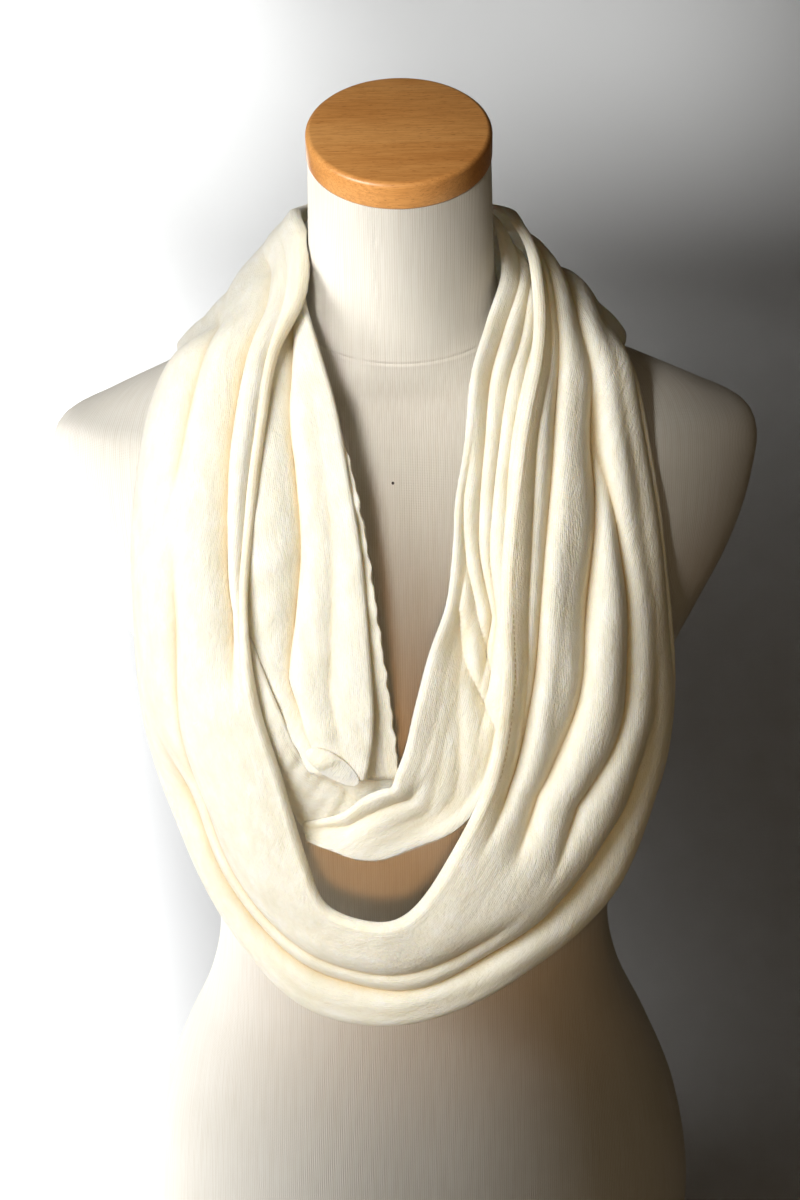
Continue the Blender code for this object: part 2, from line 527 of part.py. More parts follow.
def build_cloth(name, material, turn, start, end, steps, cell_steps, roll):
    """One stretch of cloth as a closed wall."""
    surface, normals = cloth_surface(turn, start, end, steps, cell_steps, roll)
    outside = (surface + normals * WALL / 2) * MM
    inside = (surface - normals * WALL / 2) * MM
    rows, columns = surface.shape[:2]
    points = np.concatenate([outside.reshape(-1, 3), inside.reshape(-1, 3)])
    middle = surface.reshape(-1, 3)
    back = rows * columns

    faces = []
    for i in range(rows - 1):
        for j in range(columns - 1):
            a = i * columns + j
            b, c, d = a + 1, a + columns + 1, a + columns
            if np.linalg.norm(middle[a] - middle[c]) <= np.linalg.norm(middle[b] - middle[d]):
                halves = (a, b, c), (a, c, d)
            else:
                halves = (a, b, d), (b, c, d)
            for p, q, r in halves:
                faces.append((p, q, r))
                faces.append((back + r, back + q, back + p))
    rim = [j for j in range(columns)]
    rim += [i * columns + columns - 1 for i in range(1, rows)]
    rim += [(rows - 1) * columns + j for j in range(columns - 2, -1, -1)]
    rim += [i * columns for i in range(rows - 2, 0, -1)]
    for k, here in enumerate(rim):
        there = rim[(k + 1) % len(rim)]
        faces.append((there, here, back + here, back + there))
    return new_object(name, points, faces, material, RIM_ANGLE)


# ---------------------------------------------------------------- the whole


def build():
    """Every piece, in an empty scene."""
    for item in list(bpy.data.objects):
        bpy.data.objects.remove(item)

    cover = principled("form_cover", (0.80, 0.77, 0.70), 0.85)
    wood = principled("cap_wood", (0.63, 0.36, 0.17), 0.45)
    jersey = principled("cream_jersey", (0.88, 0.82, 0.66), 0.90)

    build_form(cover)
    build_cap(wood)

    half_gap = SEAM_GAP / 2
    outer = Turn(OUTER_SECTIONS, OUTER_FOLDS, closed=True)
    over_right, low, over_left = outer.place("rs"), outer.place("mid"), outer.place("ls")
    again = over_right + outer.knots[-1]
    build_cloth("outer_front_right", jersey, outer, over_right + half_gap, low - half_gap,
                30, 2, EDGE_ROLL)
    build_cloth("outer_front_left", jersey, outer, low + half_gap, over_left - half_gap,
                28, 2, EDGE_ROLL)
    build_cloth("outer_back", jersey, outer, over_left + half_gap, again - half_gap,
                12, 2, EDGE_ROLL)

    right = Turn(INNER_RIGHT_SECTIONS, INNER_RIGHT_FOLDS)
    build_cloth("inner_back", jersey, right, right.place("ls") + half_gap,
                right.place("s") - half_gap, 12, 2, INNER_ROLL)
    build_cloth("inner_front_right", jersey, right, right.place("s") + half_gap,
                right.place("tip"), 34, 2, INNER_ROLL)
    left = Turn(INNER_LEFT_SECTIONS, INNER_LEFT_FOLDS, side=-1.0)
    build_cloth("inner_front_left", jersey, left, left.place("s") + half_gap,
                left.place("hem"), 22, 4, INNER_ROLL)
    under = Turn(UNDER_LEFT_SECTIONS, (), side=-1.0)
    build_cloth("inner_under_left", jersey, under, under.place("p4"), under.place("hem"),
                14, 3, 0.0)
    crossing = Turn(CROSSING_SECTIONS, CROSSING_FOLDS, side=-1.0)
    build_cloth("inner_crossing", jersey, crossing, crossing.place("c1"), crossing.place("c8"),
                12, 3, 0.0)


build()
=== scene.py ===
"""The looks of an infinity scarf on a limbless dress form.

The cloth of each turn is a thin shell on the form of its solids, lofted through the same
sections, with its main and small creases.  The form's cover and the wooden cap are finer
versions of their solids.  Tables are in millimetres, meshes in metres.
"""

import math

import bpy
import numpy as np
from mathutils import Matrix, Vector
from mathutils.bvhtree import BVHTree


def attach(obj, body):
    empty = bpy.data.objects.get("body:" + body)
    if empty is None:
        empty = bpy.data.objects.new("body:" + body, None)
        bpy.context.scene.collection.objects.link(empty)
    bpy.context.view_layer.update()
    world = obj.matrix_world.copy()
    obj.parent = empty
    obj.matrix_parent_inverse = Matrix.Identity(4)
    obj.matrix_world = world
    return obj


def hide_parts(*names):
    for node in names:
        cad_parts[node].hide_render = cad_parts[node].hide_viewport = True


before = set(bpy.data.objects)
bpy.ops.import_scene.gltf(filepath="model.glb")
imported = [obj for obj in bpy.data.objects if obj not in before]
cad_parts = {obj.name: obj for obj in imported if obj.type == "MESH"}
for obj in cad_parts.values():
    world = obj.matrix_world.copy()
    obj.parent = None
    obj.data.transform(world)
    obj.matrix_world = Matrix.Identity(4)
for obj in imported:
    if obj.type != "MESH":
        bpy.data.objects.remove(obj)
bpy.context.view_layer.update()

MM = 0.001
RNG = np.random.default_rng(11)

# -------------------------------- sections of the cloth
# Sections: name, the inner edge's x, y, z, the outer edge's x, y, z, how much the cloth faces
# the front, its bow and, on the outer turn, its tuck.  Folds: name, depth, width of the two
# flanks, how far the crease leans under its outer roll, how rounded its bottom is, and its
# places across by section.

OUTER_SECTIONS = (
    ("back", 0, 90, 654, 0, 116, 547, 0, 16, 10),
    ("rb2", 35, 81, 653, 64, 106, 551, 0, 16, 10),
    ("rb1", 61, 57, 652, 110, 77, 559, 0, 9, 6),
    ("rs", 67, 18, 653, 128.5, 30, 580, 0, 4, 4),
    ("r1", 75, -14, 642, 127.5, -5, 582.5, 0.1, 4, 5.5),
    ("r2", 76, -44, 619, 126, -24, 584, 0.3, 4, 9),
    ("r3", 72, -68, 595, 131, -38, 574, 0.8, 3, 10),
    ("r4", 63, -94, 560, 137, -57, 539, 1, 0, 8),
    ("r5", 56, -113, 517, 144, -69, 492, 1, 0, 6),
    ("r6", 51, -131, 472, 149, -73, 440, 1, 0, 9),
    ("r7", 50, -142, 423, 152, -70, 382, 1, 0, 14),
    ("r8", 41, -150, 371, 142, -76, 330, 1, 0, 15),
    ("r9", 20, -155, 327, 113, -95, 275, 1, 0, 16),
    ("r10", -2, -156, 295, 51, -125, 232, 1, 0, 16),
    ("mid", -23, -155, 288, -10, -137, 214, 1, 0, 16),
    ("l10", -50, -150, 296, -67, -130, 225, 1, 0, 16),
    ("l9", -61, -145, 323, -111, -108, 269, 1, 0, 16),
    ("l8", -73, -140, 371, -142, -84, 335, 1, 0, 15),
    ("l7", -85, -135, 416, -155, -74, 389, 1, 0, 14),
    ("l6", -90, -127, 467, -156, -70, 449, 1, 0, 11),
    ("l5", -85, -114, 520, -154, -65, 498, 1, 0, 6),
    ("l4", -78, -94, 568, -145, -50, 553, 1, 0, 8),
    ("l3", -71, -70, 601, -134, -33, 582, 0.8, 2, 11),
    ("l2", -57, -46, 627, -124, -18, 588, 0.3, 4, 10),
    ("l1", -56, -18, 649, -128, -5, 582, 0.1, 2, 6),
    ("ls", -60, 16, 657, -129, 30, 579, 0, 2, 4),
    ("lb1", -58, 57, 654, -110, 77, 559, 0, 9, 6),
    ("lb2", -35, 81, 654, -64, 106, 551, 0, 16, 10),
)

OUTER_FOLDS = (
    ("line_a", 15, 6, 12, -2.5, 0.12, dict(l1=0.3, l2=0.33, l3=0.34, l4=0.34, l5=0.3, l6=0.17)),
    ("tilt", 5, 16, 15, 0, 0.4, dict(l2=0.0, l3=0.0, l4=0.0, l5=0.0)),
    ("line_a_back", 6, 7, 10, -1, 0.3, dict(lb2=0.27, lb1=0.28)),
    ("line_b", 5, 4, 4, 0, 0.2, dict(l6=0.07, l5=0.08, l4=0.07, l3=0.08, l2=0.14)),
    ("tan", 5.5, 5, 4.5, 1, 0.15, dict(
        r1=0.1, r2=0.13, r3=0.14, r4=0.145, r5=0.15, r6=0.155, r7=0.12)),
    ("f2", 11, 8, 6, 1.5, 0.15, dict(
        rb2=0.16, rb1=0.17, rs=0.19, r1=0.21, r2=0.24, r3=0.25, r4=0.27, r5=0.26, r6=0.23, r7=0.18,
        r8=0.12)),
    ("roll5", 2.5, 9, 8, 0, 0.6, dict(r3=0.42, r4=0.44, r5=0.42, r6=0.38, r7=0.3)),
    ("f3", 14.5, 13, 6.5, 2.5, 0.15, dict(
        back=0.36, rb2=0.38, rb1=0.41, rs=0.44, r1=0.48, r2=0.53, r3=0.62, r4=0.62, r5=0.58,
        r6=0.52, r7=0.44, r8=0.31)),
    ("f5", 9.5, 8, 6, 2, 0.15, dict(r4=0.67, r5=0.74, r6=0.77, r7=0.71, r8=0.54)),
    ("low", 7.5, 7.5, 6, 1.5, 0.2, dict(
        r10=0.52, mid=0.5, l10=0.5, l9=0.68, l8=0.74, l7=0.7, l6=0.66)),
    ("soft_l", 3, 11, 10, 0, 0.6, dict(l7=0.85, l8=0.7, l9=0.49, l10=0.22)),
    ("soft_m", 3, 9, 8, 0, 0.5, dict(r10=0.91, mid=0.86, l10=0.86)),
    ("notch", 7, 8, 7, 0, 0.2, dict(l2=0.7, l3=0.72, l4=0.72)),
    ("notch_back", 4.5, 8, 7, 0, 0.3, dict(lb2=0.58, lb1=0.6, ls=0.62)),
    ("f4_side", 5, 10, 8, 0.5, 0.4, dict(
        back=0.66, rb2=0.68, rb1=0.7, rs=0.73, r1=0.76, r2=0.79, r3=0.86, r4=0.9, r5=0.92, r6=0.92,
        r7=0.9)),
    ("f4", 13, 10, 8, 2.5, 0.15, dict(
        r8=0.87, r9=0.77, r10=0.71, mid=0.68, l10=0.68, l9=0.84, l8=0.88)),
    ("behind_a", 3, 7, 6, 0, 0.4, dict(lb1=0.12, lb2=0.14, back=0.17, rb2=0.22)),
    ("behind_b", 3.5, 8, 6, 0, 0.4, dict(
        ls=0.8, lb1=0.83, lb2=0.82, back=0.84, rb2=0.86, rb1=0.85)),
)

INNER_RIGHT_SECTIONS = (
    ("lp2", -57, -12, 631, -87, -10, 600, 0.3, 2),
    ("ls", -56, 12, 646, -88, 16, 594, 0, 3),
    ("lb1", -49, 36, 653, -80, 52, 588.5, 0, 4),
    ("lb2", -29, 52, 660, -46, 78, 576, 0, 4),
    ("back", 0, 57, 662, 0, 87, 572, 0, 4),
    ("b2", 29, 52, 660, 46, 78, 576, 0, 4),
    ("b1", 49, 36, 653, 80, 52, 588.5, 0, 4),
    ("s", 57, 14, 646, 88, 17, 594, 0, 3),
    ("a2", 57, -20, 629, 84, -18, 611, 0.3, 3),
    ("a3", 48, -44, 608, 84, -38, 594, 0.8, 1),
    ("a4", 38, -68, 584, 78, -62, 577, 1, 0),
    ("a5", 33, -87, 550, 71, -84, 548, 1, 0),
    ("a6", 27, -102, 520, 66, -98, 516, 1, 0),
    ("a7", 25, -111, 494, 63, -109, 488, 1, 0),
    ("a8", 21, -119, 465, 61, -117, 452, 1, 0),
    ("a9", 11, -126, 438, 59, -123, 422, 1, 0),
    ("a10", 3, -131, 410, 54, -128, 392, 1, 0),
    ("a11", -3, -136, 386, 47, -132, 363, 1, 0),
    ("a12", -8, -139, 373, 36, -134, 347, 1, 0),
    ("a13", -11, -141, 366, 21, -136, 334, 1, 0),
    ("a14", -17, -141, 364, -1, -138, 326, 1, 0),
    ("a15", -27, -140, 359, -20, -139, 321, 1, 0),
    ("a16", -39, -138, 349, -37, -138, 323, 1, 0),
    ("a17", -51, -134, 343, -50, -135, 329, 1, 0),
    ("tip", -63, -130, 338.5, -62, -130, 333.5, 1, 0),
)

INNER_RIGHT_FOLDS = (
    ("pouch", 5.5, 6, 3, 1, 0.2, dict(a8=0.16, a9=0.43, a10=0.86)),
    ("v1a", 4.5, 4, 3, 0.8, 0.2, dict(a6=0.09, a7=0.15, a8=0.41, a9=0.7)),
    ("v1", 6.5, 5, 3, 1, 0.15, dict(
        back=0.26, b2=0.26, b1=0.27, s=0.3, a2=0.31, a3=0.25, a4=0.25, a5=0.27, a6=0.33, a7=0.38,
        a8=0.61)),
    ("v2", 5, 4, 3, 1, 0.15, dict(
        b2=0.55, b1=0.54, s=0.54, a2=0.55, a3=0.52, a4=0.5, a5=0.48, a6=0.51, a7=0.53, a8=0.7)),
    ("v3", 3.5, 3.5, 3, 0.5, 0.2, dict(s=0.76, a2=0.74, a3=0.72, a4=0.7, a5=0.66, a6=0.72)),
    ("trough", 5, 8, 7, 0, 0.35, dict(a9=0.34, a10=0.47, a11=0.59, a12=0.7)),
    ("side", 3, 7, 6, 0, 0.35, dict(a11=0.38, a12=0.47, a13=0.6)),
    ("neck_of_tip", 5, 5, 5, 0, 0.25, dict(a14=0.3, a15=0.3, a16=0.34)),
    ("sweep_a", 1.6, 4, 5, 0, 0.4, dict(a9=0.22, a10=0.25, a11=0.2, a12=0.22, a13=0.28)),
    ("sweep_b", 1.8, 5, 4, 0, 0.4, dict(a10=0.74, a11=0.8, a12=0.84, a13=0.8)),
)

INNER_LEFT_SECTIONS = (
    ("b1", -49, 36, 653, -80, 52, 588.5, 0, 4),
    ("s", -56, 12, 646, -88, 16, 594, 0, 3),
    ("p2", -57, -12, 631, -87, -10, 600, 0.3, 2),
    ("p3", -55, -34, 618, -86, -24, 601, 0.8, 0),
    ("p4", -47, -62, 598, -84, -46, 590, 1, 0),
    ("p5", -38, -86, 571, -88, -70, 566, 1, 0),
    ("p6", -32, -103, 538, -96, -86, 533, 1, 0),
    ("p7", -26, -117, 499, -100, -98, 496, 1, 0),
    ("p8", -23, -128, 456, -95, -106, 456, 1, 0),
    ("p9", -21, -137, 416, -87, -114, 431, 1, 0),
    ("p10", -22, -140, 392, -73, -124, 402, 1, 0),
    ("hem", -26, -141, 371, -56, -137.5, 375, 1, 0),
)

INNER_LEFT_FOLDS = (
    ("trough", 4, 7, 6, 0, 0.3, dict(p7=0.2, p8=0.28, p9=0.37)),
    ("crease", 9, 5, 7, -2, 0.15, dict(
        p3=0.36, p4=0.5, p5=0.57, p6=0.51, p7=0.49, p8=0.62, p9=0.76)),
    ("drape", 1.8, 8, 8, 0, 0.5, dict(p5=0.24, p6=0.22, p7=0.42, p8=0.5)),
)

UNDER_LEFT_SECTIONS = (
    ("p4", -51, -56.5, 597, -57.5, -52.3, 595.5, 1, 0),
    ("p5", -40, -80, 571, -50.5, -76.5, 569, 1, 0),
    ("p6", -29.5, -98, 539, -45, -94, 537, 1, 0),
    ("p7", -22, -112, 500, -41, -108, 498, 1, 0),
    ("p8", -16.5, -122.5, 457, -37, -119, 456, 1, 0),
    ("p9", -11.5, -129, 417, -36, -127, 416, 1, 0),
    ("p10", -9, -132, 394, -36, -130.5, 394, 1, 0),
    ("hem", -7, -131, 367.5, -32, -131.5, 368.5, 1, 0),
)

CROSSING_SECTIONS = (
    ("c1", -88, -117.1, 449, -102, -105.4, 437, 1, 0),
    ("c2", -82, -124, 432, -95, -112, 418, 1, 0),
    ("c3", -71, -131, 404, -85, -119, 388, 1, 0),
    ("c4", -62.5, -131, 383, -76, -121, 367, 1, 0),
    ("c5", -51, -129.5, 371, -69, -120, 348, 1, 0),
    ("c6", -38, -127.5, 365, -59, -119, 331, 1, 0),
    ("c7", -25, -126.5, 365, -41, -121, 325, 1, 0),
    ("c8", -6, -126, 366, -19, -122, 327, 1, 0),
)

CROSSING_FOLDS = (
    ("sliver", 2.5, 4, 4, 0, 0.25, dict(c5=0.1, c6=0.12, c7=0.34, c8=0.4)),
)

FORM_RINGS = (
    # z, y, half, front, back, power, tilt
    (0, 0, 165, 116, 122, 2.3, 0),
    (6, 0, 169, 119.5, 125.5, 2.3, 0),
    (45, 0, 171, 122, 127, 2.3, 0),
    (95, 0, 163, 118, 120, 2.25, 0),
    (140, 0, 146, 106, 106, 2.25, 0),
    (180, 0, 128, 96, 92, 2.25, 0),
    (218, 0, 120, 92, 86, 2.25, 0),
    (250, 0, 122.5, 96, 88, 2.2, 0),
    (290, 0, 131, 107, 95, 2.15, 0),
    (330, 0, 140.5, 118, 101, 2.1, 0),
    (365, 0, 148, 122, 105, 2.05, 0),
    (397, 0, 157, 117, 107, 2.0, 0),
    (428, 0, 173, 107, 107, 1.95, 0),
    (458, 0, 188.5, 96, 105, 1.95, 0),
    (484, 0, 198, 87, 101, 2.0, 0),
    (508, 1, 203.5, 78, 95, 2.05, 1),
    (527, 2, 205.5, 71, 88, 2.1, 2),
    (541, 4, 200, 65, 80, 2.1, 4),
    (551, 5, 180, 61, 75, 2.0, 6),
    (562, 6, 154, 59, 70, 1.95, 8),
    (574, 6, 123, 58, 66, 1.9, 11),
    (586, 4, 92, 58, 61, 1.9, 15),
    (597, 1, 68, 57, 57, 2.0, 19),
    (610, -3, 57, 54, 54, 2.0, 21),
    (632, -8, 53, 51, 52, 2.0, 23),
    (664, -15.5, 51.8, 50.5, 51, 2.0, 24.6),
    (696.2, -22.8, 51, 50.5, 50.5, 2.0, 24.6),
)

# -------------------------------- shaders

MIX_A, MIX_B, MIX_RESULT = 6, 7, 2  # sockets of a Mix node for colours
WAVE_PERIOD = math.pi / 10          # m, what a band wave repeats by at a scale of 1
HEM_STITCH = 7.4                    # mm from an edge to its hem's row of stitches
STITCH_HALF = 0.0004                # m, half the width of that row
STITCH_REACH = 0.05                 # m that the row shows each way from its middle
STITCH_STEP = 0.0034                # m from stitch to stitch
STITCH_SHARE = 0.6                  # how much of a step is thread
WHITE = (1.0, 1.0, 1.0)
THREAD = (0.66, 0.57, 0.39)
PAINTED_CREASE_SHADE = (0.74, 0.58, 0.38)    # painted shade: what the cloth's colour is multiplied by toward the bottom of a crease
PIN_MARK = (-0.0073, -0.0070, 0.521)  # m, its depth shortened to a tenth
PIN_RADIUS = 0.0008                 # m
PIN_COLOUR = (0.05, 0.04, 0.035)


class Shading:
    """The node tree of a new material, around its Principled shader."""

    def __init__(self, name):
        self.material = bpy.data.materials.new(name)
        self.material.use_nodes = True
        self.tree = self.material.node_tree

    def add(self, kind, values=None, **settings):
        """A node with its settings, and its inputs given by name or number."""
        node = self.tree.nodes.new("ShaderNode" + kind)
        for key, value in settings.items():
            setattr(node, key, value)
        return self.fill(node, values or {})

    def fill(self, node, values):
        """Put numbers, colours or other nodes' outputs into a node's inputs."""
        for key, value in values.items():
            if isinstance(value, bpy.types.NodeSocket):
                self.tree.links.new(value, node.inputs[key])
            else:
                node.inputs[key].default_value = value
        return node

    def uv(self):
        """Places on the mesh's map, in m."""
        return self.add("UVMap", uv_map="UVMap").outputs["UV"]

    def place(self):
        """Places in the object, in m."""
        return self.add("TexCoord").outputs["Object"]

    def noise(self, source, scale, detail, rough):
        """A noise texture on a vector, with one scale or one for each axis."""
        if isinstance(scale, tuple):
            source, scale = self.stretched(source, scale), 1.0
        values = {"Vector": source, "Scale": scale, "Detail": detail, "Roughness": rough}
        return self.add("TexNoise", values).outputs["Fac"]

    def stretched(self, source, scale):
        """A vector scaled by its axes."""
        return self.add("Mapping", {"Vector": source, "Scale": scale}).outputs["Vector"]

    def wave(self, source, period, direction, distortion):
        """Fine parallel lines with a period in m."""
        values = {"Vector": source, "Scale": WAVE_PERIOD / period, "Distortion": distortion,
                  "Detail": 1.0, "Detail Scale": 0.6}
        node = self.add("TexWave", values, wave_type="BANDS", bands_direction=direction)
        return node.outputs["Fac"]

    def ramp(self, source, stops):
        """Colours by a number."""
        node = self.add("ValToRGB", {"Fac": source})
        band = node.color_ramp
        while len(band.elements) < len(stops):
            band.elements.new(0.5)
        for element, (place, colour) in zip(band.elements, stops):
            element.position = place
            element.color = (*colour, 1.0)
        return node.outputs["Color"]

    def maths(self, operation, *values):
        """Numbers or outputs put together."""
        return self.add("Math", dict(enumerate(values)), operation=operation).outputs[0]

    def mix(self, blend, factor, a, b):
        """Two colours put together."""
        values = {"Factor": factor, MIX_A: a, MIX_B: b}
        node = self.add("Mix", values, data_type="RGBA", blend_type=blend)
        return node.outputs[MIX_RESULT]

    def near(self, value, middle, reach):
        """1 where a number is within reach of another, and 0 elsewhere."""
        off = self.maths("ABSOLUTE", self.maths("SUBTRACT", value, middle))
        return self.maths("LESS_THAN", off, reach)

    def bumps(self, layers):
        """A normal from layers of height, strength and distance, each on the one before."""
        normal = None
        for height, strength, distance in layers:
            values = {"Height": height, "Strength": strength, "Distance": distance}
            if normal is not None:
                values["Normal"] = normal
            normal = self.add("Bump", values).outputs["Normal"]
        return normal

    def finish(self, values):
        """The material, with the inputs of its Principled shader."""
        self.fill(self.tree.nodes["Principled BSDF"], values)
        return self.material


def jersey_material(stitched):
    """Soft brushed cream jersey, with faint mottling, its fine knit and a stretch of stitches.

    stitched is how far along its piece the middle of the stitched stretch is, in m.
    """
    jersey = Shading("brushed_jersey")
    uv, place = jersey.uv(), jersey.place()
    mottle = jersey.noise(uv, (130.0, 52.0, 1.0), 4.0, 0.6)
    colour = jersey.ramp(mottle, (
        (0.34, (0.865, 0.805, 0.645)), (0.52, (0.91, 0.855, 0.705)), (0.68, (0.94, 0.90, 0.77)),
    ))
    # painted shade: the cloth's colour is darkened and warmed toward the bottom of each crease, by
    # the crease attribute
    crease = jersey.add("Attribute", attribute_name="crease").outputs["Fac"]
    shaded = jersey.mix("MULTIPLY", crease, colour, (*PAINTED_CREASE_SHADE, 1.0))
    across, along, _ = jersey.add("SeparateXYZ", {0: uv}).outputs
    row = jersey.maths("MULTIPLY", jersey.near(across, HEM_STITCH * MM, STITCH_HALF),
                       jersey.near(along, stitched, STITCH_REACH))
    step = jersey.maths("FRACT", jersey.maths("DIVIDE", along, STITCH_STEP))
    stitch = jersey.maths("MULTIPLY", row, jersey.maths("LESS_THAN", step, STITCH_SHARE))
    nap = jersey.noise(place, 900.0, 2.0, 0.6)
    dimples = jersey.noise(uv, (170.0, 62.0, 1.0), 2.0, 0.5)
    pills = jersey.noise(uv, (520.0, 260.0, 1.0), 2.0, 0.6)
    wales = jersey.wave(uv, 0.0011, "X", 1.2)
    return jersey.finish({
        "Base Color": jersey.mix("MIX", stitch, shaded, (*THREAD, 1.0)),
        "Normal": jersey.bumps(((dimples, 0.30, 0.0022), (pills, 0.42, 0.0011),
                                (wales, 0.22, 0.0004), (nap, 0.38, 0.0006))),
        "Roughness": jersey.maths("MULTIPLY_ADD", nap, 0.12, 0.80),
        "Specular IOR Level": 0.15,
        "Sheen Weight": 0.25, "Sheen Roughness": 0.5, "Sheen Tint": (1.0, 0.97, 0.90, 1.0),
        "Subsurface Weight": 0.45, "Subsurface Radius": (1.0, 0.72, 0.42),
        "Subsurface Scale": 0.008,
    })


def cover_material():
    """The form's ivory cover: a fine vertical rib, slightly uneven, with its pin mark."""
    cover = Shading("ribbed_cover")
    uv, place = cover.uv(), cover.place()
    tone = cover.ramp(cover.noise(place, 14.0, 3.0, 0.5), (
        (0.30, (0.80, 0.775, 0.715)), (0.70, (0.84, 0.82, 0.77)),
    ))
    ribs = cover.wave(uv, 0.0013, "X", 0.6)
    courses = cover.wave(uv, 0.0009, "Y", 0.8)
    streaks = cover.noise(uv, (760.0, 24.0, 1.0), 2.0, 0.5)
    uneven = cover.maths("MULTIPLY_ADD", ribs, 0.45, streaks)
    darker = cover.ramp(uneven, ((0.45, (0.91, 0.89, 0.86)), (0.80, WHITE)))
    ribbed = cover.mix("MULTIPLY", 1.0, tone, darker)
    flattened = cover.stretched(place, (1.0, 0.1, 1.0))
    gap = cover.add("VectorMath", {0: flattened, 1: PIN_MARK}, operation="DISTANCE")
    mark = cover.maths("LESS_THAN", gap.outputs["Value"], PIN_RADIUS)
    return cover.finish({
        "Base Color": cover.mix("MIX", mark, ribbed, (*PIN_COLOUR, 1.0)),
        "Normal": cover.bumps(((ribs, 0.35, 0.0004), (courses, 0.2, 0.0002))),
        "Roughness": 0.85, "Specular IOR Level": 0.2, "Sheen Weight": 0.10,
    })


def wood_material():
    """Honey beech with a clear satin finish, its grain from side to side."""
    wood = Shading("honey_beech")
    place = wood.place()
    broad = wood.noise(place, (4.0, 38.0, 38.0), 4.0, 0.55)
    grain = wood.noise(place, (60.0, 900.0, 900.0), 3.0, 0.6)
    flecks = wood.noise(place, (220.0, 2400.0, 2400.0), 1.0, 0.5)
    colour = wood.ramp(broad, (
        (0.30, (0.60, 0.255, 0.065)), (0.50, (0.71, 0.33, 0.095)), (0.70, (0.79, 0.40, 0.13)),
    ))
    lines = wood.ramp(grain, ((0.38, (0.80, 0.74, 0.66)), (0.60, WHITE)))
    pores = wood.ramp(flecks, ((0.27, (0.50, 0.38, 0.30)), (0.36, WHITE)))
    for layer in (lines, pores):
        colour = wood.mix("MULTIPLY", 0.8, colour, layer)
    return wood.finish({
        "Base Color": colour,
        "Normal": wood.bumps(((grain, 0.12, 0.0003),)),
        "Roughness": wood.maths("MULTIPLY_ADD", broad, 0.15, 0.33),
        "Coat Weight": 0.25, "Coat Roughness": 0.25,
    })


def stage_material():
    """The pale paper of the studio sweep."""
    paper = Shading("pale_sweep")
    tone = paper.ramp(paper.noise(paper.place(), 3.0, 2.0, 0.5), (
        (0.3, (0.80, 0.80, 0.79)), (0.7, (0.83, 0.83, 0.82)),
    ))
    return paper.finish({"Base Color": tone, "Roughness": 0.9})


# -------------------------------- surfaces

FOLD_FADE = 60.0     # mm past a fold's last section over which it dies out
BACK_DEPTH = 0.5     # share of a fold's depth that is left behind the shoulders
WANDER = ((0.004, 17.0), (0.006, 41.0))  # how a fold strays across: share, mm for a radian
UNEVEN = ((0.10, 29.0), (0.08, 13.0))    # how its depth varies, in the same way
RIPPLES = 26         # small waves on a turn
RIPPLE_COUNTS = (3, 16)    # how often one repeats along the turn
RIPPLE_LENGTHS = (14, 60)  # mm across, from crest to crest
RIPPLE_SIZES = (0.5, 1.0)
RIPPLE_SHARE = 3.0   # what the waves' sum is divided by
SCALLOPS = ((1.9, 0.0, 1.0), (3.1, 1.0, 0.7))  # a wavy hem: mm for a radian, phase, size
TUCK_CURL = 0.5      # how far a tucked edge curls in, for each mm that it sinks
ROLL_ROUND = 0.96    # how round a rolled edge is
PROBE = 1.0          # mm each way along the turn that a slope is taken over
FLAT_REACH = 50.0    # mm along the turn over which its hem lies flat and shows its stitches
FLAT_SHARE = 0.8     # how much less it turns back there
CREASE_REACH = 0.34  # share of a fold's flank that the painted shade at its bottom takes up
CREASE_DEPTH = 9.0   # mm deep from which a crease gets its full painted shade
CREASE_POWER = 1.5   # how steeply that painted shade ends
FINE_STEPS = 260     # places across that an even spacing is read off
TUCK_STEPS = 24      # more of them round a tucked edge
STEP_FLOOR = 0.02    # mm added to each step between them
SPACING_PASSES = 12  # how often that spacing is smoothed along the turn
WALL = 1.7           # mm, the shell's thickness
RIM_STEPS = (0.0, 0.12, 0.42, 0.85)  # mm from a rim where its rounding has points
HEM_WIDTH, HEM_EDGE, HEM_RISE = 8.0, 0.35, 0.45  # mm, a hem and its step
GROOVE_WIDTH, GROOVE_DEPTH = 0.5, 0.5            # mm, where its stitches pull it in
PLAIN_HEM = 1.0      # m that the map of a turn without shown stitches is moved by
CLEARANCE = 1.6      # mm from the form to the middle of the cloth, at least
CLEAR_REACH = 16.0   # mm within which the form is looked for


def hermite(knots, rows, at, closed=False):
    """Rows of numbers read off a smooth curve through them, at places along the knots."""
    count = len(rows)
    slopes = np.zeros_like(rows)
    for i in range(count):
        before, after = max(i - 1, 0), min(i + 1, count - 1)
        gap = knots[after] - knots[before]
        if closed and i in (0, count - 1):
            before, after = count - 2, 1
            gap = knots[-1] - knots[-2] + knots[1] - knots[0]
        slopes[i] = (rows[after] - rows[before]) / gap
    at = np.clip(at, knots[0], knots[-1])
    cell = np.clip(np.searchsorted(knots, at, side="right") - 1, 0, count - 2)
    gap = knots[cell + 1] - knots[cell]
    s = ((at - knots[cell]) / gap)[:, None]
    gap = gap[:, None]
    return (
        (2 * s**3 - 3 * s**2 + 1) * rows[cell]
        + (s**3 - 2 * s**2 + s) * gap * slopes[cell]
        + (3 * s**2 - 2 * s**3) * rows[cell + 1]
        + (s**3 - s**2) * gap * slopes[cell + 1]
    )


def unit(vectors):
    """Vectors made one long."""
    return vectors / np.maximum(np.linalg.norm(vectors, axis=-1, keepdims=True), 1e-9)


def run_of(steps):
    """Lengths from the start of each row, from the lengths of its steps."""
    return np.concatenate([np.zeros((len(steps), 1)), np.cumsum(steps, axis=1)], axis=1)


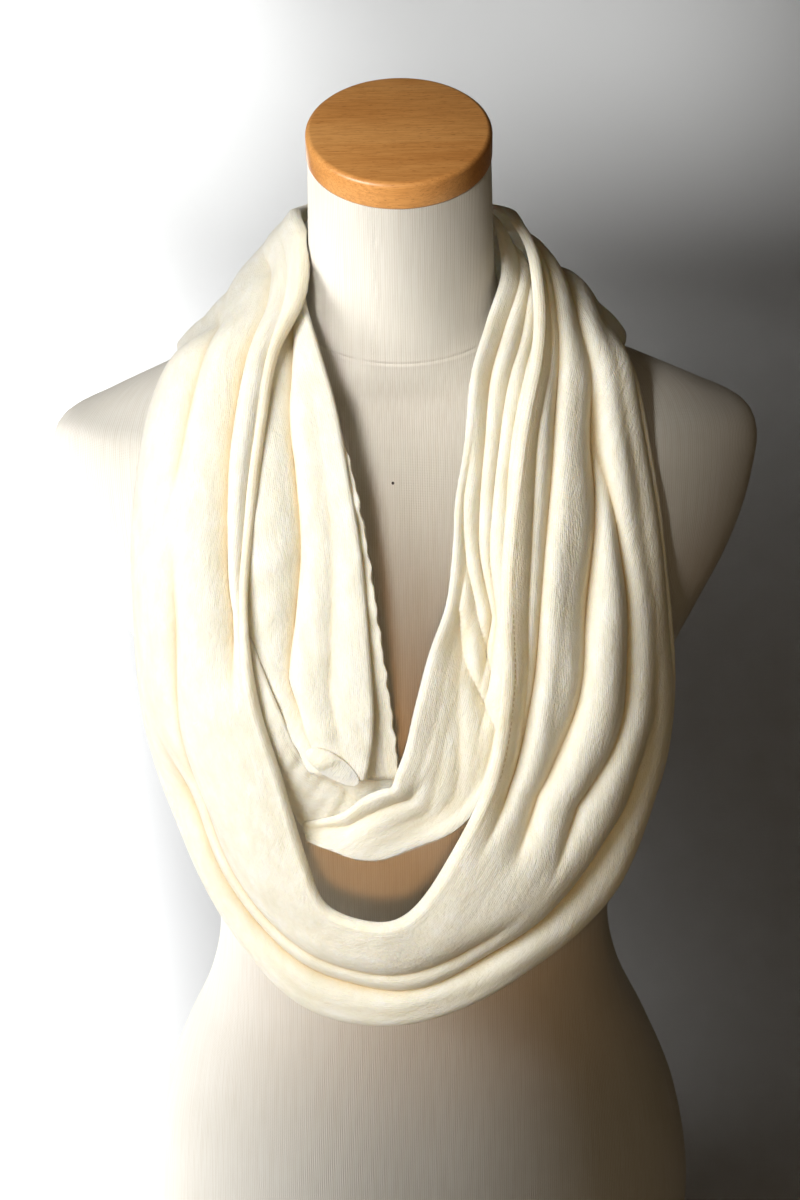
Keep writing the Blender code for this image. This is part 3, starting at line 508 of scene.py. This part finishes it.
class Turn:
    """One turn of the scarf: its sections, folds and small waves, in mm."""

    def __init__(self, sections, folds, side=1.0, closed=False, roll=3.5, waves=0.5, hem=0.0,
                 flat_at=None, scallop=0.0):
        self.side, self.closed, self.folds, self.roll = side, closed, folds, roll
        self.waves, self.hem, self.flat_at, self.scallop = waves, hem, flat_at, scallop
        self.names = [row[0] for row in sections]
        rows = np.array([row[1:] for row in sections], dtype=float)
        if rows.shape[1] == 8:  # a table without a tuck
            rows = np.hstack([rows, np.zeros((len(rows), 1))])
        self.tucked = rows[:, 8].max() > 0
        if closed:
            rows = np.vstack([rows, rows[:1]])
            self.names.append(self.names[0] + "_again")
        self.rows = rows
        middle = (rows[:, 0:3] + rows[:, 3:6]) / 2
        steps = np.linalg.norm(np.diff(middle, axis=0), axis=1)
        edge = np.linalg.norm(np.diff(rows[:, 3:6], axis=0), axis=1)
        self.knots = np.concatenate([[0.0], np.cumsum((steps + edge) / 2)])
        self.length = self.knots[-1]
        self.wander = RNG.uniform(0, 2 * math.pi, (len(folds), 4))
        self.ripples = [
            (RNG.integers(*RIPPLE_COUNTS), RNG.uniform(-1, 1) / RNG.uniform(*RIPPLE_LENGTHS),
             RNG.uniform(0, 2 * math.pi), RNG.uniform(*RIPPLE_SIZES))
            for _ in range(RIPPLES)
        ]

    def place(self, name):
        """How far along the turn a named section is."""
        return self.knots[self.names.index(name)]

    def stretch(self, first, last, count):
        """Evenly spaced places along the turn, from one named section to another."""
        return np.linspace(self.place(first), self.place(last), count)

    def edges(self, along):
        """The edges, facing weight, bow and tuck of the sections at places along the turn."""
        if self.closed:
            along = along % self.length
        rows = hermite(self.knots, self.rows, along, self.closed)
        if self.scallop > 0:
            sway = sum(size * np.sin(along / mm + phase) for mm, phase, size in SCALLOPS)
            rows[:, 0:3] += unit(rows[:, 3:6] - rows[:, 0:3]) * (self.scallop * sway)[:, None]
        return rows[:, 0:3], rows[:, 3:6], np.clip(rows[:, 6], 0.0, 1.0), rows[:, 7], rows[:, 8]

    def fold_lines(self, along, across):
        """For each fold: how many flanks off places are, its strength there, and its row."""
        inner, outer, front, _, _ = self.edges(along)
        width = np.linalg.norm(outer - inner, axis=1)[:, None]
        tightness = BACK_DEPTH + (1 - BACK_DEPTH) * front
        for row, phase in zip(self.folds, self.wander):
            known = sorted((self.place(key), value) for key, value in row[6].items())
            knots = np.array([k for k, _ in known])
            values = np.array([[v] for _, v in known])
            where = along
            if self.closed:
                gaps = np.diff(np.append(knots, knots[0] + self.length))
                first = (int(np.argmax(gaps)) + 1) % len(knots)
                knots = np.concatenate([knots[first:], knots[:first] + self.length])
                values = np.concatenate([values[first:], values[:first]])
                middle = (knots[0] + knots[-1]) / 2
                where = along + self.length * np.round((middle - along) / self.length)
            places = hermite(knots, values, where)[:, 0]
            for (size, mm), start in zip(WANDER, phase[:2]):
                places = places + size * np.sin(where / mm + start)
            outside = np.maximum(knots[0] - where, where - knots[-1])
            strength = np.clip(1.0 - outside / FOLD_FADE, 0.0, 1.0)
            strength = strength**2 * (3 - 2 * strength)
            uneven = 1.0
            for (size, mm), start in zip(UNEVEN, phase[2:]):
                uneven = uneven + size * np.sin(where / mm + start)
            off = (across - places[:, None]) * width
            yield off / np.where(off < 0, *row[2:4]), (strength * uneven * tightness)[:, None], row

    def smooth(self, along, across):
        """Points of the smooth surface, how far the folds sink there, and how far they lean."""
        inner, outer, front, bow, tuck = self.edges(along)
        chord = outer - inner
        width = np.linalg.norm(chord, axis=1)[:, None]
        ahead, behind = self.edges(along + PROBE), self.edges(along - PROBE)
        path = ahead[0] + ahead[1] - behind[0] - behind[1]
        away = unit(np.cross(path, chord)) * self.side
        facing = unit(front[:, None] * np.array([0.0, -1.0, 0.0]) + (1 - front[:, None]) * away)
        retreat = np.sum(chord * facing, axis=1)[:, None] * facing
        q = np.clip(across, 0.0, 1.0)[:, :, None]
        under = np.clip(across - 1.0, 0.0, 1.0)[:, :, None] * math.pi / 2
        base = (
            inner[:, None, :]
            + (chord - retreat)[:, None, :] * q
            + retreat[:, None, :] * (1.0 - np.sqrt(1.0 - q**2))
            + (facing * bow[:, None])[:, None, :] * np.sin(math.pi * q)
            - (facing * tuck[:, None])[:, None, :] * np.sin(under)
            - (unit(chord - retreat) * tuck[:, None])[:, None, :] * TUCK_CURL * (1 - np.cos(under))
        )
        sink, lean, rise = np.zeros((3, *across.shape))
        for off, strength, (_, depth, _, _, tilt, rounding, _) in self.fold_lines(along, across):
            share = strength * np.exp(rounding - np.sqrt(off**2 + rounding**2))
            sink += depth * share
            lean += tilt * share
        turn = along[:, None] / self.length * 2 * math.pi
        for count, frequency, phase, size in self.ripples:
            rise += size * np.sin(turn * count + across * width * frequency * 2 * math.pi + phase)
        sink += self.waves * rise / RIPPLE_SHARE
        if self.roll > 0:
            turn_back = np.clip(1.0 - across * width / self.roll, 0.0, 1.0)
            turned = np.ones(len(along))
            if self.flat_at:
                off = (along % self.length - self.place(self.flat_at)) / FLAT_REACH
                turned = 1.0 - FLAT_SHARE * np.exp(-off**2)
            depth = self.roll * turned[:, None]
            sink += depth * (1.0 - np.sqrt(1.0 - turn_back**2 * ROLL_ROUND))
        return base, sink, lean

    def painted_shade(self, along, across):
        """How much painted shade places on the surface get toward the bottom of a crease, from 0
        to 1.
        """
        shade = np.zeros(across.shape)
        for off, strength, (_, depth, _, _, _, rounding, _) in self.fold_lines(along, across):
            sharp = (1.0 - rounding) * min(depth / CREASE_DEPTH, 1.0)
            line = np.exp(-np.abs(off / CREASE_REACH) ** CREASE_POWER) * sharp
            shade = np.maximum(shade, strength * line)
        return np.clip(shade, 0.0, 1.0)

    def normals(self, surface, points, along, across):
        """The directions that points of a surface face, by its slopes there."""
        slope = surface(along + PROBE, across) - surface(along - PROBE, across)
        return unit(np.cross(slope, np.gradient(points, axis=1))) * self.side

    def middle(self, along, across):
        """Points of the folded cloth's middle surface."""
        base, sink, lean = self.smooth(along, across)
        normals = self.normals(lambda *at: self.smooth(*at)[0], base, along, across)
        over = unit(np.gradient(base, axis=1))
        return base - normals * sink[:, :, None] + over * lean[:, :, None]

    def spacing(self, along, columns):
        """Places across that lie evenly on the folded cloth, closer together at its rims."""
        fine = np.sin(np.linspace(0.0, math.pi / 2, FINE_STEPS))
        last = 1.0
        if self.tucked:
            fine = np.concatenate([fine, 1.0 + np.linspace(0.0, 1.0, TUCK_STEPS)[1:]])
            last = 2.0
        fine = np.broadcast_to(fine, (len(along), len(fine)))
        points = self.middle(along, fine)
        run = run_of(np.linalg.norm(np.diff(points, axis=1), axis=2) + STEP_FLOOR)
        share = run / run[:, -1:]
        for _ in range(SPACING_PASSES):
            before, after = np.roll(share, 1, axis=0), np.roll(share, -1, axis=0)
            if not self.closed:
                before[0], after[-1] = share[0], share[-1]
            share = (before + 2 * share + after) / 4
        rim = np.array(RIM_STEPS)
        between = columns - 2 * len(rim) + 2
        across = np.zeros((len(along), columns))
        for i, total in enumerate(run[:, -1]):
            ends = rim / total
            inner = np.linspace(ends[-1], 1 - ends[-1], between)[1:-1]
            wanted = np.concatenate([ends, inner, 1 - ends[::-1]])
            across[i] = np.interp(wanted, share[i], fine[i])
        across[:, 0], across[:, -1] = 0.0, last
        return across

    def surface(self, along, columns):
        """An even grid on the folded cloth: points, normals, lengths across, painted crease shade.
        """
        across = self.spacing(along, columns)
        points = self.middle(along, across)
        normals = self.normals(self.middle, points, along, across)
        run = run_of(np.linalg.norm(np.diff(points, axis=1), axis=2))
        return points, normals, run, self.painted_shade(along, across)


# -------------------------------- meshes


def corners_of(faces):
    """The point that each corner of the faces is at, face by face."""
    return np.array([point for face in faces for point in face])


def mesh_object(name, points, faces, material, uv=None, crease=None, sharp=None):
    """A smooth mesh object in the scene, its points in m.

    uv has a place on the map for each corner, in m, and crease a painted crease shade for each
    point.
    sharp is the angle in degrees from which edges stay sharp.
    """
    mesh = bpy.data.meshes.new(name)
    mesh.from_pydata(points.tolist(), [], faces)
    if crease is not None:
        # the crease attribute carries the painted crease shade
        mesh.attributes.new("crease", "FLOAT", "POINT").data.foreach_set("value", crease)
    if uv is not None:
        mesh.uv_layers.new(name="UVMap").data.foreach_set("uv", uv.reshape(-1))
    mesh.shade_smooth()
    if sharp is not None:
        mesh.set_sharp_from_angle(angle=math.radians(sharp))
    mesh.materials.append(material)
    piece = bpy.data.objects.new(name, mesh)
    bpy.context.scene.collection.objects.link(piece)
    return piece


def ring_faces(rings, sides):
    """The faces round a stack of rings, and those of its bottom and its top."""
    faces = []
    for low in range(0, (rings - 1) * sides, sides):
        high = low + sides
        for k in range(sides):
            after = (k + 1) % sides
            faces.append((low + k, low + after, high + after, high + k))
    top = (rings - 1) * sides
    faces.append(tuple(range(sides))[::-1])
    faces.append(tuple(top + k for k in range(sides)))
    return faces


def tree_of(piece):
    """A search tree of an object's faces."""
    mesh = piece.data
    corners = [piece.matrix_world @ v.co for v in mesh.vertices]
    return BVHTree.FromPolygons(corners, [tuple(p.vertices) for p in mesh.polygons])


def push_off(points, tree):
    """Points in mm moved out to a clearance from the surface under them."""
    flat = points.reshape(-1, 3)
    for i, point in enumerate(flat):
        spot = Vector(point) * MM
        where, normal, _, _ = tree.find_nearest(spot, CLEAR_REACH * MM)
        if where is None:
            continue
        height = (spot - where).dot(normal) / MM
        if height < CLEARANCE:
            flat[i] += np.array(normal) * (CLEARANCE - height)
    return flat.reshape(points.shape)


def half_walls(turn, run):
    """Half the shell's thickness over its grid in mm, with rounded rims and raised hems."""
    radius = np.full(run.shape, WALL / 2)
    if turn.hem > 0:
        band = 1.0 / (1.0 + np.exp((run - HEM_WIDTH) / HEM_EDGE))
        groove = np.exp(-((run - HEM_STITCH) / GROOVE_WIDTH) ** 2)
        radius = radius + turn.hem * (HEM_RISE * band - GROOVE_DEPTH * groove)
    inset = np.clip(np.minimum(run, run[:, -1:] - run) / (WALL / 2), 0.0, 1.0)
    return radius * np.sqrt(1.0 - (1.0 - inset) ** 2)


def end_faces(rows, around, columns):
    """The faces that close both ends of an open shell."""
    faces = []
    for row, flip in ((0, True), (rows - 1, False)):
        for a in range(columns - 1):
            b = a + 1
            face = [a, b]
            face += [k for k in ((around - b) % around, (around - a) % around) if k not in face]
            faces.append([row * around + k for k in (face[::-1] if flip else face)])
    return faces


def shell(name, turn, along, columns, material, tree):
    """A closed thin shell of cloth that stays clear of what it rests on."""
    points, normals, run, shade = turn.surface(along, columns)
    points = push_off(points, tree)
    half = half_walls(turn, run)[:, :, None]
    outside, inside = points + normals * half, points - normals * half
    ring = np.concatenate([outside, inside[:, -2:0:-1]], axis=1) * MM
    across = np.concatenate([run, run[:, -2:0:-1]], axis=1) * MM
    if not turn.flat_at:
        across = across + PLAIN_HEM
    rows, around = ring.shape[:2]
    base = np.arange(around)
    follow = (base + 1) % around
    quads = []
    for i in range(rows if turn.closed else rows - 1):
        low, high = i * around, ((i + 1) % rows) * around
        quads.append(np.stack([low + base, low + follow, high + follow, high + base], axis=1))
    quads = np.concatenate(quads)
    ends = [] if turn.closed else end_faces(rows, around, columns)
    column = columns // 3
    facing = np.cross(ring[1, column] - ring[0, column], ring[0, column + 1] - ring[0, column])
    if np.dot(facing, normals[0, column]) > 0:
        quads = quads[:, ::-1]
        ends = [face[::-1] for face in ends]
    faces = quads.tolist() + ends
    corner = corners_of(faces)
    v = np.repeat(along[:, None], around, axis=1) * MM
    uv = np.stack([across.reshape(-1), v.reshape(-1)], axis=1)[corner]
    if turn.closed:  # the last span runs on to the whole length, not back to 0
        uv[-4 * around:, 1] += np.where(corner[-4 * around:] < around, turn.length * MM, 0.0)
    # painted crease shade on the outside of the shell, none on its inside
    crease = np.hstack([shade, np.zeros((rows, around - columns))]).reshape(-1)
    return mesh_object(name, ring.reshape(-1, 3), faces, material, uv, crease)


# -------------------------------- the form and its cap

SHARP_ANGLE = 50         # degrees
FORM_SIDES = 168
FORM_LEVELS = 150
BASE_LEVEL = 2.0         # mm up the side, one more level close to the base
SEAM_LEVEL = 604.5       # mm, ring height of the neck's seam
SEAM_REACH = 3.0         # mm each way from the seam with closer levels
SEAM_LEVELS = 17
SEAM_DEPTH, SEAM_WIDTH = 0.5, 0.7  # mm, the seam's groove
PUCKER_RISE, PUCKER_WIDTH, PUCKER_OFF = 0.25, 1.0, 2.0  # mm, the soft ridges beside it


def build_form(material):
    """The covered torso and neck, finer than the solid, with the neck's fine seam."""
    rows = np.array(FORM_RINGS)
    steps = np.hypot(np.diff(rows[:, 0]), np.diff(rows[:, 2]))
    knots = np.concatenate([[0.0], np.cumsum(steps)])
    seam = np.interp(SEAM_LEVEL, rows[:, 0], knots)
    at = np.linspace(0.0, knots[-1], FORM_LEVELS)
    close = seam + np.linspace(-SEAM_REACH, SEAM_REACH, SEAM_LEVELS)
    at = np.sort(np.concatenate([at[np.abs(at - seam) > SEAM_REACH], close, [BASE_LEVEL]]))
    angle = 2 * math.pi * np.arange(FORM_SIDES) / FORM_SIDES - math.pi / 2
    c, s = np.cos(angle), np.sin(angle)
    points, lengths = [], []
    for place, (z, y, half, front, back, power, tilt) in zip(at, hermite(knots, rows, at)):
        groove = SEAM_DEPTH * math.exp(-((place - seam) / SEAM_WIDTH) ** 2)
        off = abs(place - seam) - PUCKER_OFF
        grow = PUCKER_RISE * math.exp(-(off / PUCKER_WIDTH) ** 2) - groove
        lean = math.radians(tilt)
        x = np.sign(c) * np.abs(c) ** (2 / power) * (half + grow)
        deep = np.sign(s) * np.abs(s) ** (2 / power) * (np.where(s > 0, back, front) + grow)
        ring = np.stack([x, y + deep * math.cos(lean), z + deep * math.sin(lean)], axis=1)
        points.append(ring)
        hop = np.linalg.norm(np.roll(ring, -1, axis=0) - ring, axis=1)
        lengths.append(np.concatenate([[0.0], np.cumsum(hop)]))
    uv = []
    for i in range(len(at) - 1):
        below, above = lengths[i], lengths[i + 1]
        for k in range(FORM_SIDES):
            # the map runs both ways from the front, so that its ends meet at the back
            whole = (below[-1], above[-1]) if k >= FORM_SIDES // 2 else (0.0, 0.0)
            uv += [(below[k] - whole[0], at[i]), (below[k + 1] - whole[0], at[i]),
                   (above[k + 1] - whole[1], at[i + 1]), (above[k] - whole[1], at[i + 1])]
    for ring in (points[0][::-1], points[-1]):
        uv += [(point[0], point[1]) for point in ring]
    return mesh_object("covered_form", np.concatenate(points) * MM,
                       ring_faces(len(at), FORM_SIDES), material, np.array(uv) * MM,
                       sharp=SHARP_ANGLE)


CAP_SIDES = 144
CAP_CENTRE = (0.0, -30.0, 712.0)  # mm, the middle of its top face
CAP_TILT = 24.6                   # degrees forward
CAP_PROFILE = (
    # reach, height from the top face, both mm
    (50.2, -17.0), (51.0, -16.8), (51.45, -16.2), (51.6, -15.4), (51.6, -9.0), (51.6, -3.2),
    (51.5, -2.3), (51.1, -1.4), (50.4, -0.7), (49.5, -0.2), (48.5, 0.0),
)


def build_cap(material):
    """The turned wooden cap, finer than its solid."""
    lean = math.radians(CAP_TILT)
    angle = 2 * math.pi * np.arange(CAP_SIDES) / CAP_SIDES
    points = []
    for reach, height in CAP_PROFILE:
        deep = reach * np.sin(angle)
        points.append(np.stack([
            CAP_CENTRE[0] + reach * np.cos(angle),
            CAP_CENTRE[1] + deep * math.cos(lean) - height * math.sin(lean),
            CAP_CENTRE[2] + deep * math.sin(lean) + height * math.cos(lean),
        ], axis=1))
    return mesh_object("turned_cap", np.concatenate(points) * MM,
                       ring_faces(len(CAP_PROFILE), CAP_SIDES), material, sharp=SHARP_ANGLE)


# -------------------------------- the hem's curl

CURL_CENTRE = (-44.0, -140.8, 379.8)  # mm
CURL_HALF = (16.5, 7.0)     # mm, along and across the oval
CURL_TURN = -36.0           # degrees that it hangs from level, down to the right
CURL_LEAN = -0.12           # how its right end comes forward with the panel
CURL_RISE = 2.8             # mm that it stands proud of its rim
CURL_RINGS = 20
CURL_SIDES = 72
CURL_UNEVEN = ((0.05, 2, 0.6), (0.03, 3, 2.0))  # the rim's waves: size, count, phase
CURL_POLE = 0.02            # its smallest ring, against its rim
CURL_BACK = 0.2             # how far its back stands out, against its front
TIP_RISE, TIP_AT, TIP_HALF = 1.1, -0.50, (0.30, 0.60)  # the turned tip at its left end
MOUTH_DEPTH, MOUTH_AT, MOUTH_SLANT, MOUTH_EDGE = 1.5, 0.10, 0.20, 0.06  # where it rolls in


def curl_rise(u, v, reach, front):
    """How far the curl stands proud at the places of one ring, in mm."""
    dome = CURL_RISE * math.sqrt(max(1.0 - reach**2, 0.0))
    if not front:
        return np.full(CURL_SIDES, -CURL_BACK * dome)
    tip = TIP_RISE * np.exp(-((u - TIP_AT) / TIP_HALF[0]) ** 2 - (v / TIP_HALF[1]) ** 2)
    edge = np.exp((MOUTH_SLANT * v - u - MOUTH_AT) / MOUTH_EDGE)
    mouth = MOUTH_DEPTH / (1.0 + edge) * (1.0 - reach**7)
    return dome + tip * (1.0 - reach**4) - mouth


def build_curl(material):
    """The small oval where the panel's hem has rolled up on itself: a thin closed pad."""
    turn = math.radians(CURL_TURN)
    major = np.array([math.cos(turn), CURL_LEAN, math.sin(turn)])
    minor = np.array([-math.sin(turn), 0.0, math.cos(turn)])
    angle = 2 * math.pi * np.arange(CURL_SIDES) / CURL_SIDES
    oval = 1.0 + sum(size * np.sin(count * angle + phase) for size, count, phase in CURL_UNEVEN)
    points, places = [], []
    for ring in range(2 * CURL_RINGS + 1):
        reach = max(math.sin(ring / CURL_RINGS * math.pi / 2), CURL_POLE)
        u, v = reach * oval * np.cos(angle), reach * oval * np.sin(angle)
        rise = curl_rise(u, v, reach, ring <= CURL_RINGS)
        points.append(
            np.array(CURL_CENTRE) + np.outer(u * CURL_HALF[0], major)
            + np.outer(v * CURL_HALF[1], minor) + np.outer(rise, (0.0, -1.0, 0.0))
        )
        places.append(np.stack([u * CURL_HALF[0], v * CURL_HALF[1]], axis=1))
    # its rings run from the front to the back, so that each face is turned round
    faces = [(face[0],) + face[:0:-1] for face in ring_faces(2 * CURL_RINGS + 1, CURL_SIDES)]
    uv = (np.concatenate(places) * MM)[corners_of(faces)]
    return mesh_object("inner_left_hem_curl", np.concatenate(points) * MM, faces, material, uv)


# -------------------------------- pieces

form = build_form(cover_material())
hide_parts("form_body")
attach(form, "root")
cap = build_cap(wood_material())
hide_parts("neck_cap")
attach(cap, "root")
form_tree = tree_of(form)

left_turn = Turn(INNER_LEFT_SECTIONS, INNER_LEFT_FOLDS, side=-1.0, roll=2.4, waves=0.35)
under_turn = Turn(UNDER_LEFT_SECTIONS, (), side=-1.0, roll=0.0, waves=0.3, hem=1.0,
                  scallop=0.45)
cross_turn = Turn(CROSSING_SECTIONS, CROSSING_FOLDS, side=-1.0, roll=1.5, waves=0.3)
right_turn = Turn(INNER_RIGHT_SECTIONS, INNER_RIGHT_FOLDS, waves=0.4)
outer_turn = Turn(OUTER_SECTIONS, OUTER_FOLDS, closed=True, roll=6.0, waves=0.3, hem=1.0,
                  flat_at="r7")
jersey = jersey_material(outer_turn.place("r7") * MM)

under = shell("inner_left_under", under_turn, under_turn.stretch("p4", "hem", 90), 40, jersey,
              form_tree)
crossing = shell("inner_crossing_band", cross_turn, cross_turn.stretch("c1", "c8", 70), 44,
                 jersey, form_tree)
left = shell("inner_left_panel", left_turn, left_turn.stretch("s", "hem", 150), 84, jersey,
             form_tree)
right = shell("inner_right_strand", right_turn, np.linspace(
    right_turn.place("ls") + 0.5, right_turn.place("tip"), 240), 84, jersey, form_tree)
outer = shell("outer_turn", outer_turn, np.linspace(
    0.0, outer_turn.length, 341)[:-1], 136, jersey, form_tree)
curl = build_curl(jersey)

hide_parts("inner_under_left")
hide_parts("inner_crossing")
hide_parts("inner_front_left")
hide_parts("inner_front_right", "inner_back")
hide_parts("outer_front_right", "outer_front_left", "outer_back")
for piece, flat in ((under, (0.022, 0.245)), (crossing, (0.034, 0.13)), (left, (0.085, 0.28)),
                    (right, (0.075, 0.56)), (outer, (0.13, 1.30))):
    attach(piece, "root")
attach(curl, "root")

# -------------------------------- stage, light and camera

FLOOR_PLACES = (-4.0, -2.0, 0.0, 1.5, 2.2)  # m, from the front to the curve
SWEEP_RADIUS, SWEEP_STEPS = 0.8, 12  # m
SWEEP_HALF, WALL_TOP = 4.5, 4.0      # m, half its width, and its height

CAMERA_PLACE = (-0.0047, -1.512, 0.976)
CAMERA_PITCH, CAMERA_ROLL = 20.0, 1.2       # degrees, down and clockwise
CAMERA_SENSOR, CAMERA_LENS = 24.0, 54.0     # mm, the sensor's height and the lens

DAYLIGHT = (1.0, 0.99, 0.985)
IVORY_LIGHT = (1.0, 0.985, 0.955)
CHEST_LIGHT = (1.0, 0.96, 0.90)
WARM = (1.0, 0.74, 0.44)
ORANGE = (1.0, 0.50, 0.20)
COOL = (0.97, 0.98, 1.0)
PALE = (0.98, 0.99, 1.0)
LIGHTS = (
    # name, place, target, size, power, colour, what it lights and, where they matter, its
    # spread in degrees and the direction of its second length
    ("window", (-0.80, -1.00, 0.98), (0, 0, 0.42), (0.8, 0.8), 25, DAYLIGHT, "cloth"),
    ("window_crown", (-0.98, -1.10, 0.82), (-0.02, 0, 0.45), (0.8, 0.8), 34, IVORY_LIGHT,
     "crown"),
    ("window_side", (-1.80, -0.45, 0.48), (0, 0, 0.48), (1.3, 1.3), 45, IVORY_LIGHT, "torso"),
    ("chest_light", (-0.26, -0.75, 0.86), (-0.005, -0.06, 0.59), (0.2, 0.2), 0.135,
     CHEST_LIGHT, "torso", 22),
    ("arm_light", (-0.75, -0.65, 0.80), (-0.175, -0.05, 0.50), (0.15, 0.15), 0.065,
     IVORY_LIGHT, "torso", 20),
    ("hollow_glow", (-0.05, -0.50, 0.36), (-0.03, -0.12, 0.34), (0.06, 0.06), 0.055, ORANGE,
     "torso", 60),
    ("fill", (-0.1, -2.3, 0.70), (0, 0, 0.42), (1.2, 1.0), 10, WARM, "cloth"),
    ("fill_crown", (0.3, -2.3, 0.75), (0, 0, 0.42), (1.6, 1.0), 5, WARM, "crown"),
    ("fill_torso", (0.3, -2.3, 0.75), (0, 0, 0.42), (1.6, 1.0), 3.2, WARM, "torso"),
    ("side_strip", (-0.60, 1.55, 0.215), (-0.60, 1.55, 0), (0.22, 3.3), 19, COOL, "paper",
     150, (-0.127, 0.96, 0.079)),
    ("wall_band", (-0.30, 2.35, 0.78), (-0.28, 2.90, 0.34), (1.9, 0.2), 1.75, PALE, "paper",
     80),
    ("corner_glow", (-0.85, 2.05, 0.60), (-0.32, 2.78, 0.03), (0.6, 0.6), 1.8, PALE, "paper"),
    ("floor_glow", (-0.46, 2.50, 0.70), (-0.42, 2.50, 0), (0.9, 0.5), 2, PALE, "paper", 100,
     (1, 0, 0)),
)
SKY_STRENGTH = 0.02


def build_sweep():
    """A floor that curves up into a wall far behind."""
    outline = [(y, 0.0) for y in FLOOR_PLACES]
    for step in range(1, SWEEP_STEPS + 1):
        turn = math.pi / 2 * step / SWEEP_STEPS
        outline.append((FLOOR_PLACES[-1] + SWEEP_RADIUS * math.sin(turn),
                        SWEEP_RADIUS - SWEEP_RADIUS * math.cos(turn)))
    outline.append((FLOOR_PLACES[-1] + SWEEP_RADIUS, WALL_TOP))
    points = np.array([(x, y, z) for y, z in outline for x in (-SWEEP_HALF, SWEEP_HALF)])
    faces = [(i, i + 1, i + 3, i + 2) for i in range(0, len(points) - 2, 2)]
    sweep = mesh_object("sweep", points, faces, stage_material())
    return sweep


def placed(across, upward, ahead, place):
    """The matrix of a light or camera at a place, by where its side, top and view point."""
    matrix = Matrix((across, upward, -ahead)).transposed().to_4x4()
    matrix.translation = Vector(place)
    return matrix


def area_light(name, place, target, size, power, colour, lit, spread=180, along=(0, 0, 1)):
    """A soft light that faces a point and lights the objects of one collection.

    size is its length across and its length nearest to the direction called along.
    """
    light = bpy.data.lights.new(name, "AREA")
    light.shape = "RECTANGLE"
    light.size, light.size_y = size
    light.energy = power
    light.color = colour
    light.spread = math.radians(spread)
    item = bpy.data.objects.new(name, light)
    ahead = (Vector(target) - Vector(place)).normalized()
    across = ahead.cross(Vector(along)).normalized()
    item.matrix_world = placed(across, across.cross(ahead), ahead, place)
    item.visible_camera = False
    item.light_linking.receiver_collection = bpy.data.collections[lit]
    bpy.context.scene.collection.objects.link(item)


def build_camera():
    """The photograph's camera: 20 degrees down, with a slight roll."""
    pitch, roll = math.radians(CAMERA_PITCH), math.radians(CAMERA_ROLL)
    forward = Vector((0.0, math.cos(pitch), -math.sin(pitch)))
    level = Vector((1.0, 0.0, 0.0))
    up = level.cross(forward)
    across = level * math.cos(roll) - up * math.sin(roll)
    upward = up * math.cos(roll) + level * math.sin(roll)
    data = bpy.data.cameras.new("photo_camera")
    data.sensor_fit = "VERTICAL"
    data.sensor_height = CAMERA_SENSOR
    data.lens = CAMERA_LENS
    camera = bpy.data.objects.new("photo_camera", data)
    bpy.context.scene.collection.objects.link(camera)
    camera.matrix_world = placed(across, upward, forward, CAMERA_PLACE)
    bpy.context.scene.camera = camera


sweep = build_sweep()
for name, items in (("cloth", (under, crossing, left, curl, right, outer)), ("crown", (cap,)),
                    ("torso", (form,)), ("paper", (sweep,))):
    group = bpy.data.collections.new(name)
    for item in items:
        group.objects.link(item)
for row in LIGHTS:
    area_light(*row)
world = bpy.data.worlds.new("studio")
world.use_nodes = True
sky = world.node_tree.nodes["Background"]
sky.inputs["Color"].default_value = (*WARM, 1.0)
sky.inputs["Strength"].default_value = SKY_STRENGTH
bpy.context.scene.world = world
bpy.context.scene.view_settings.view_transform = "Standard"
build_camera()
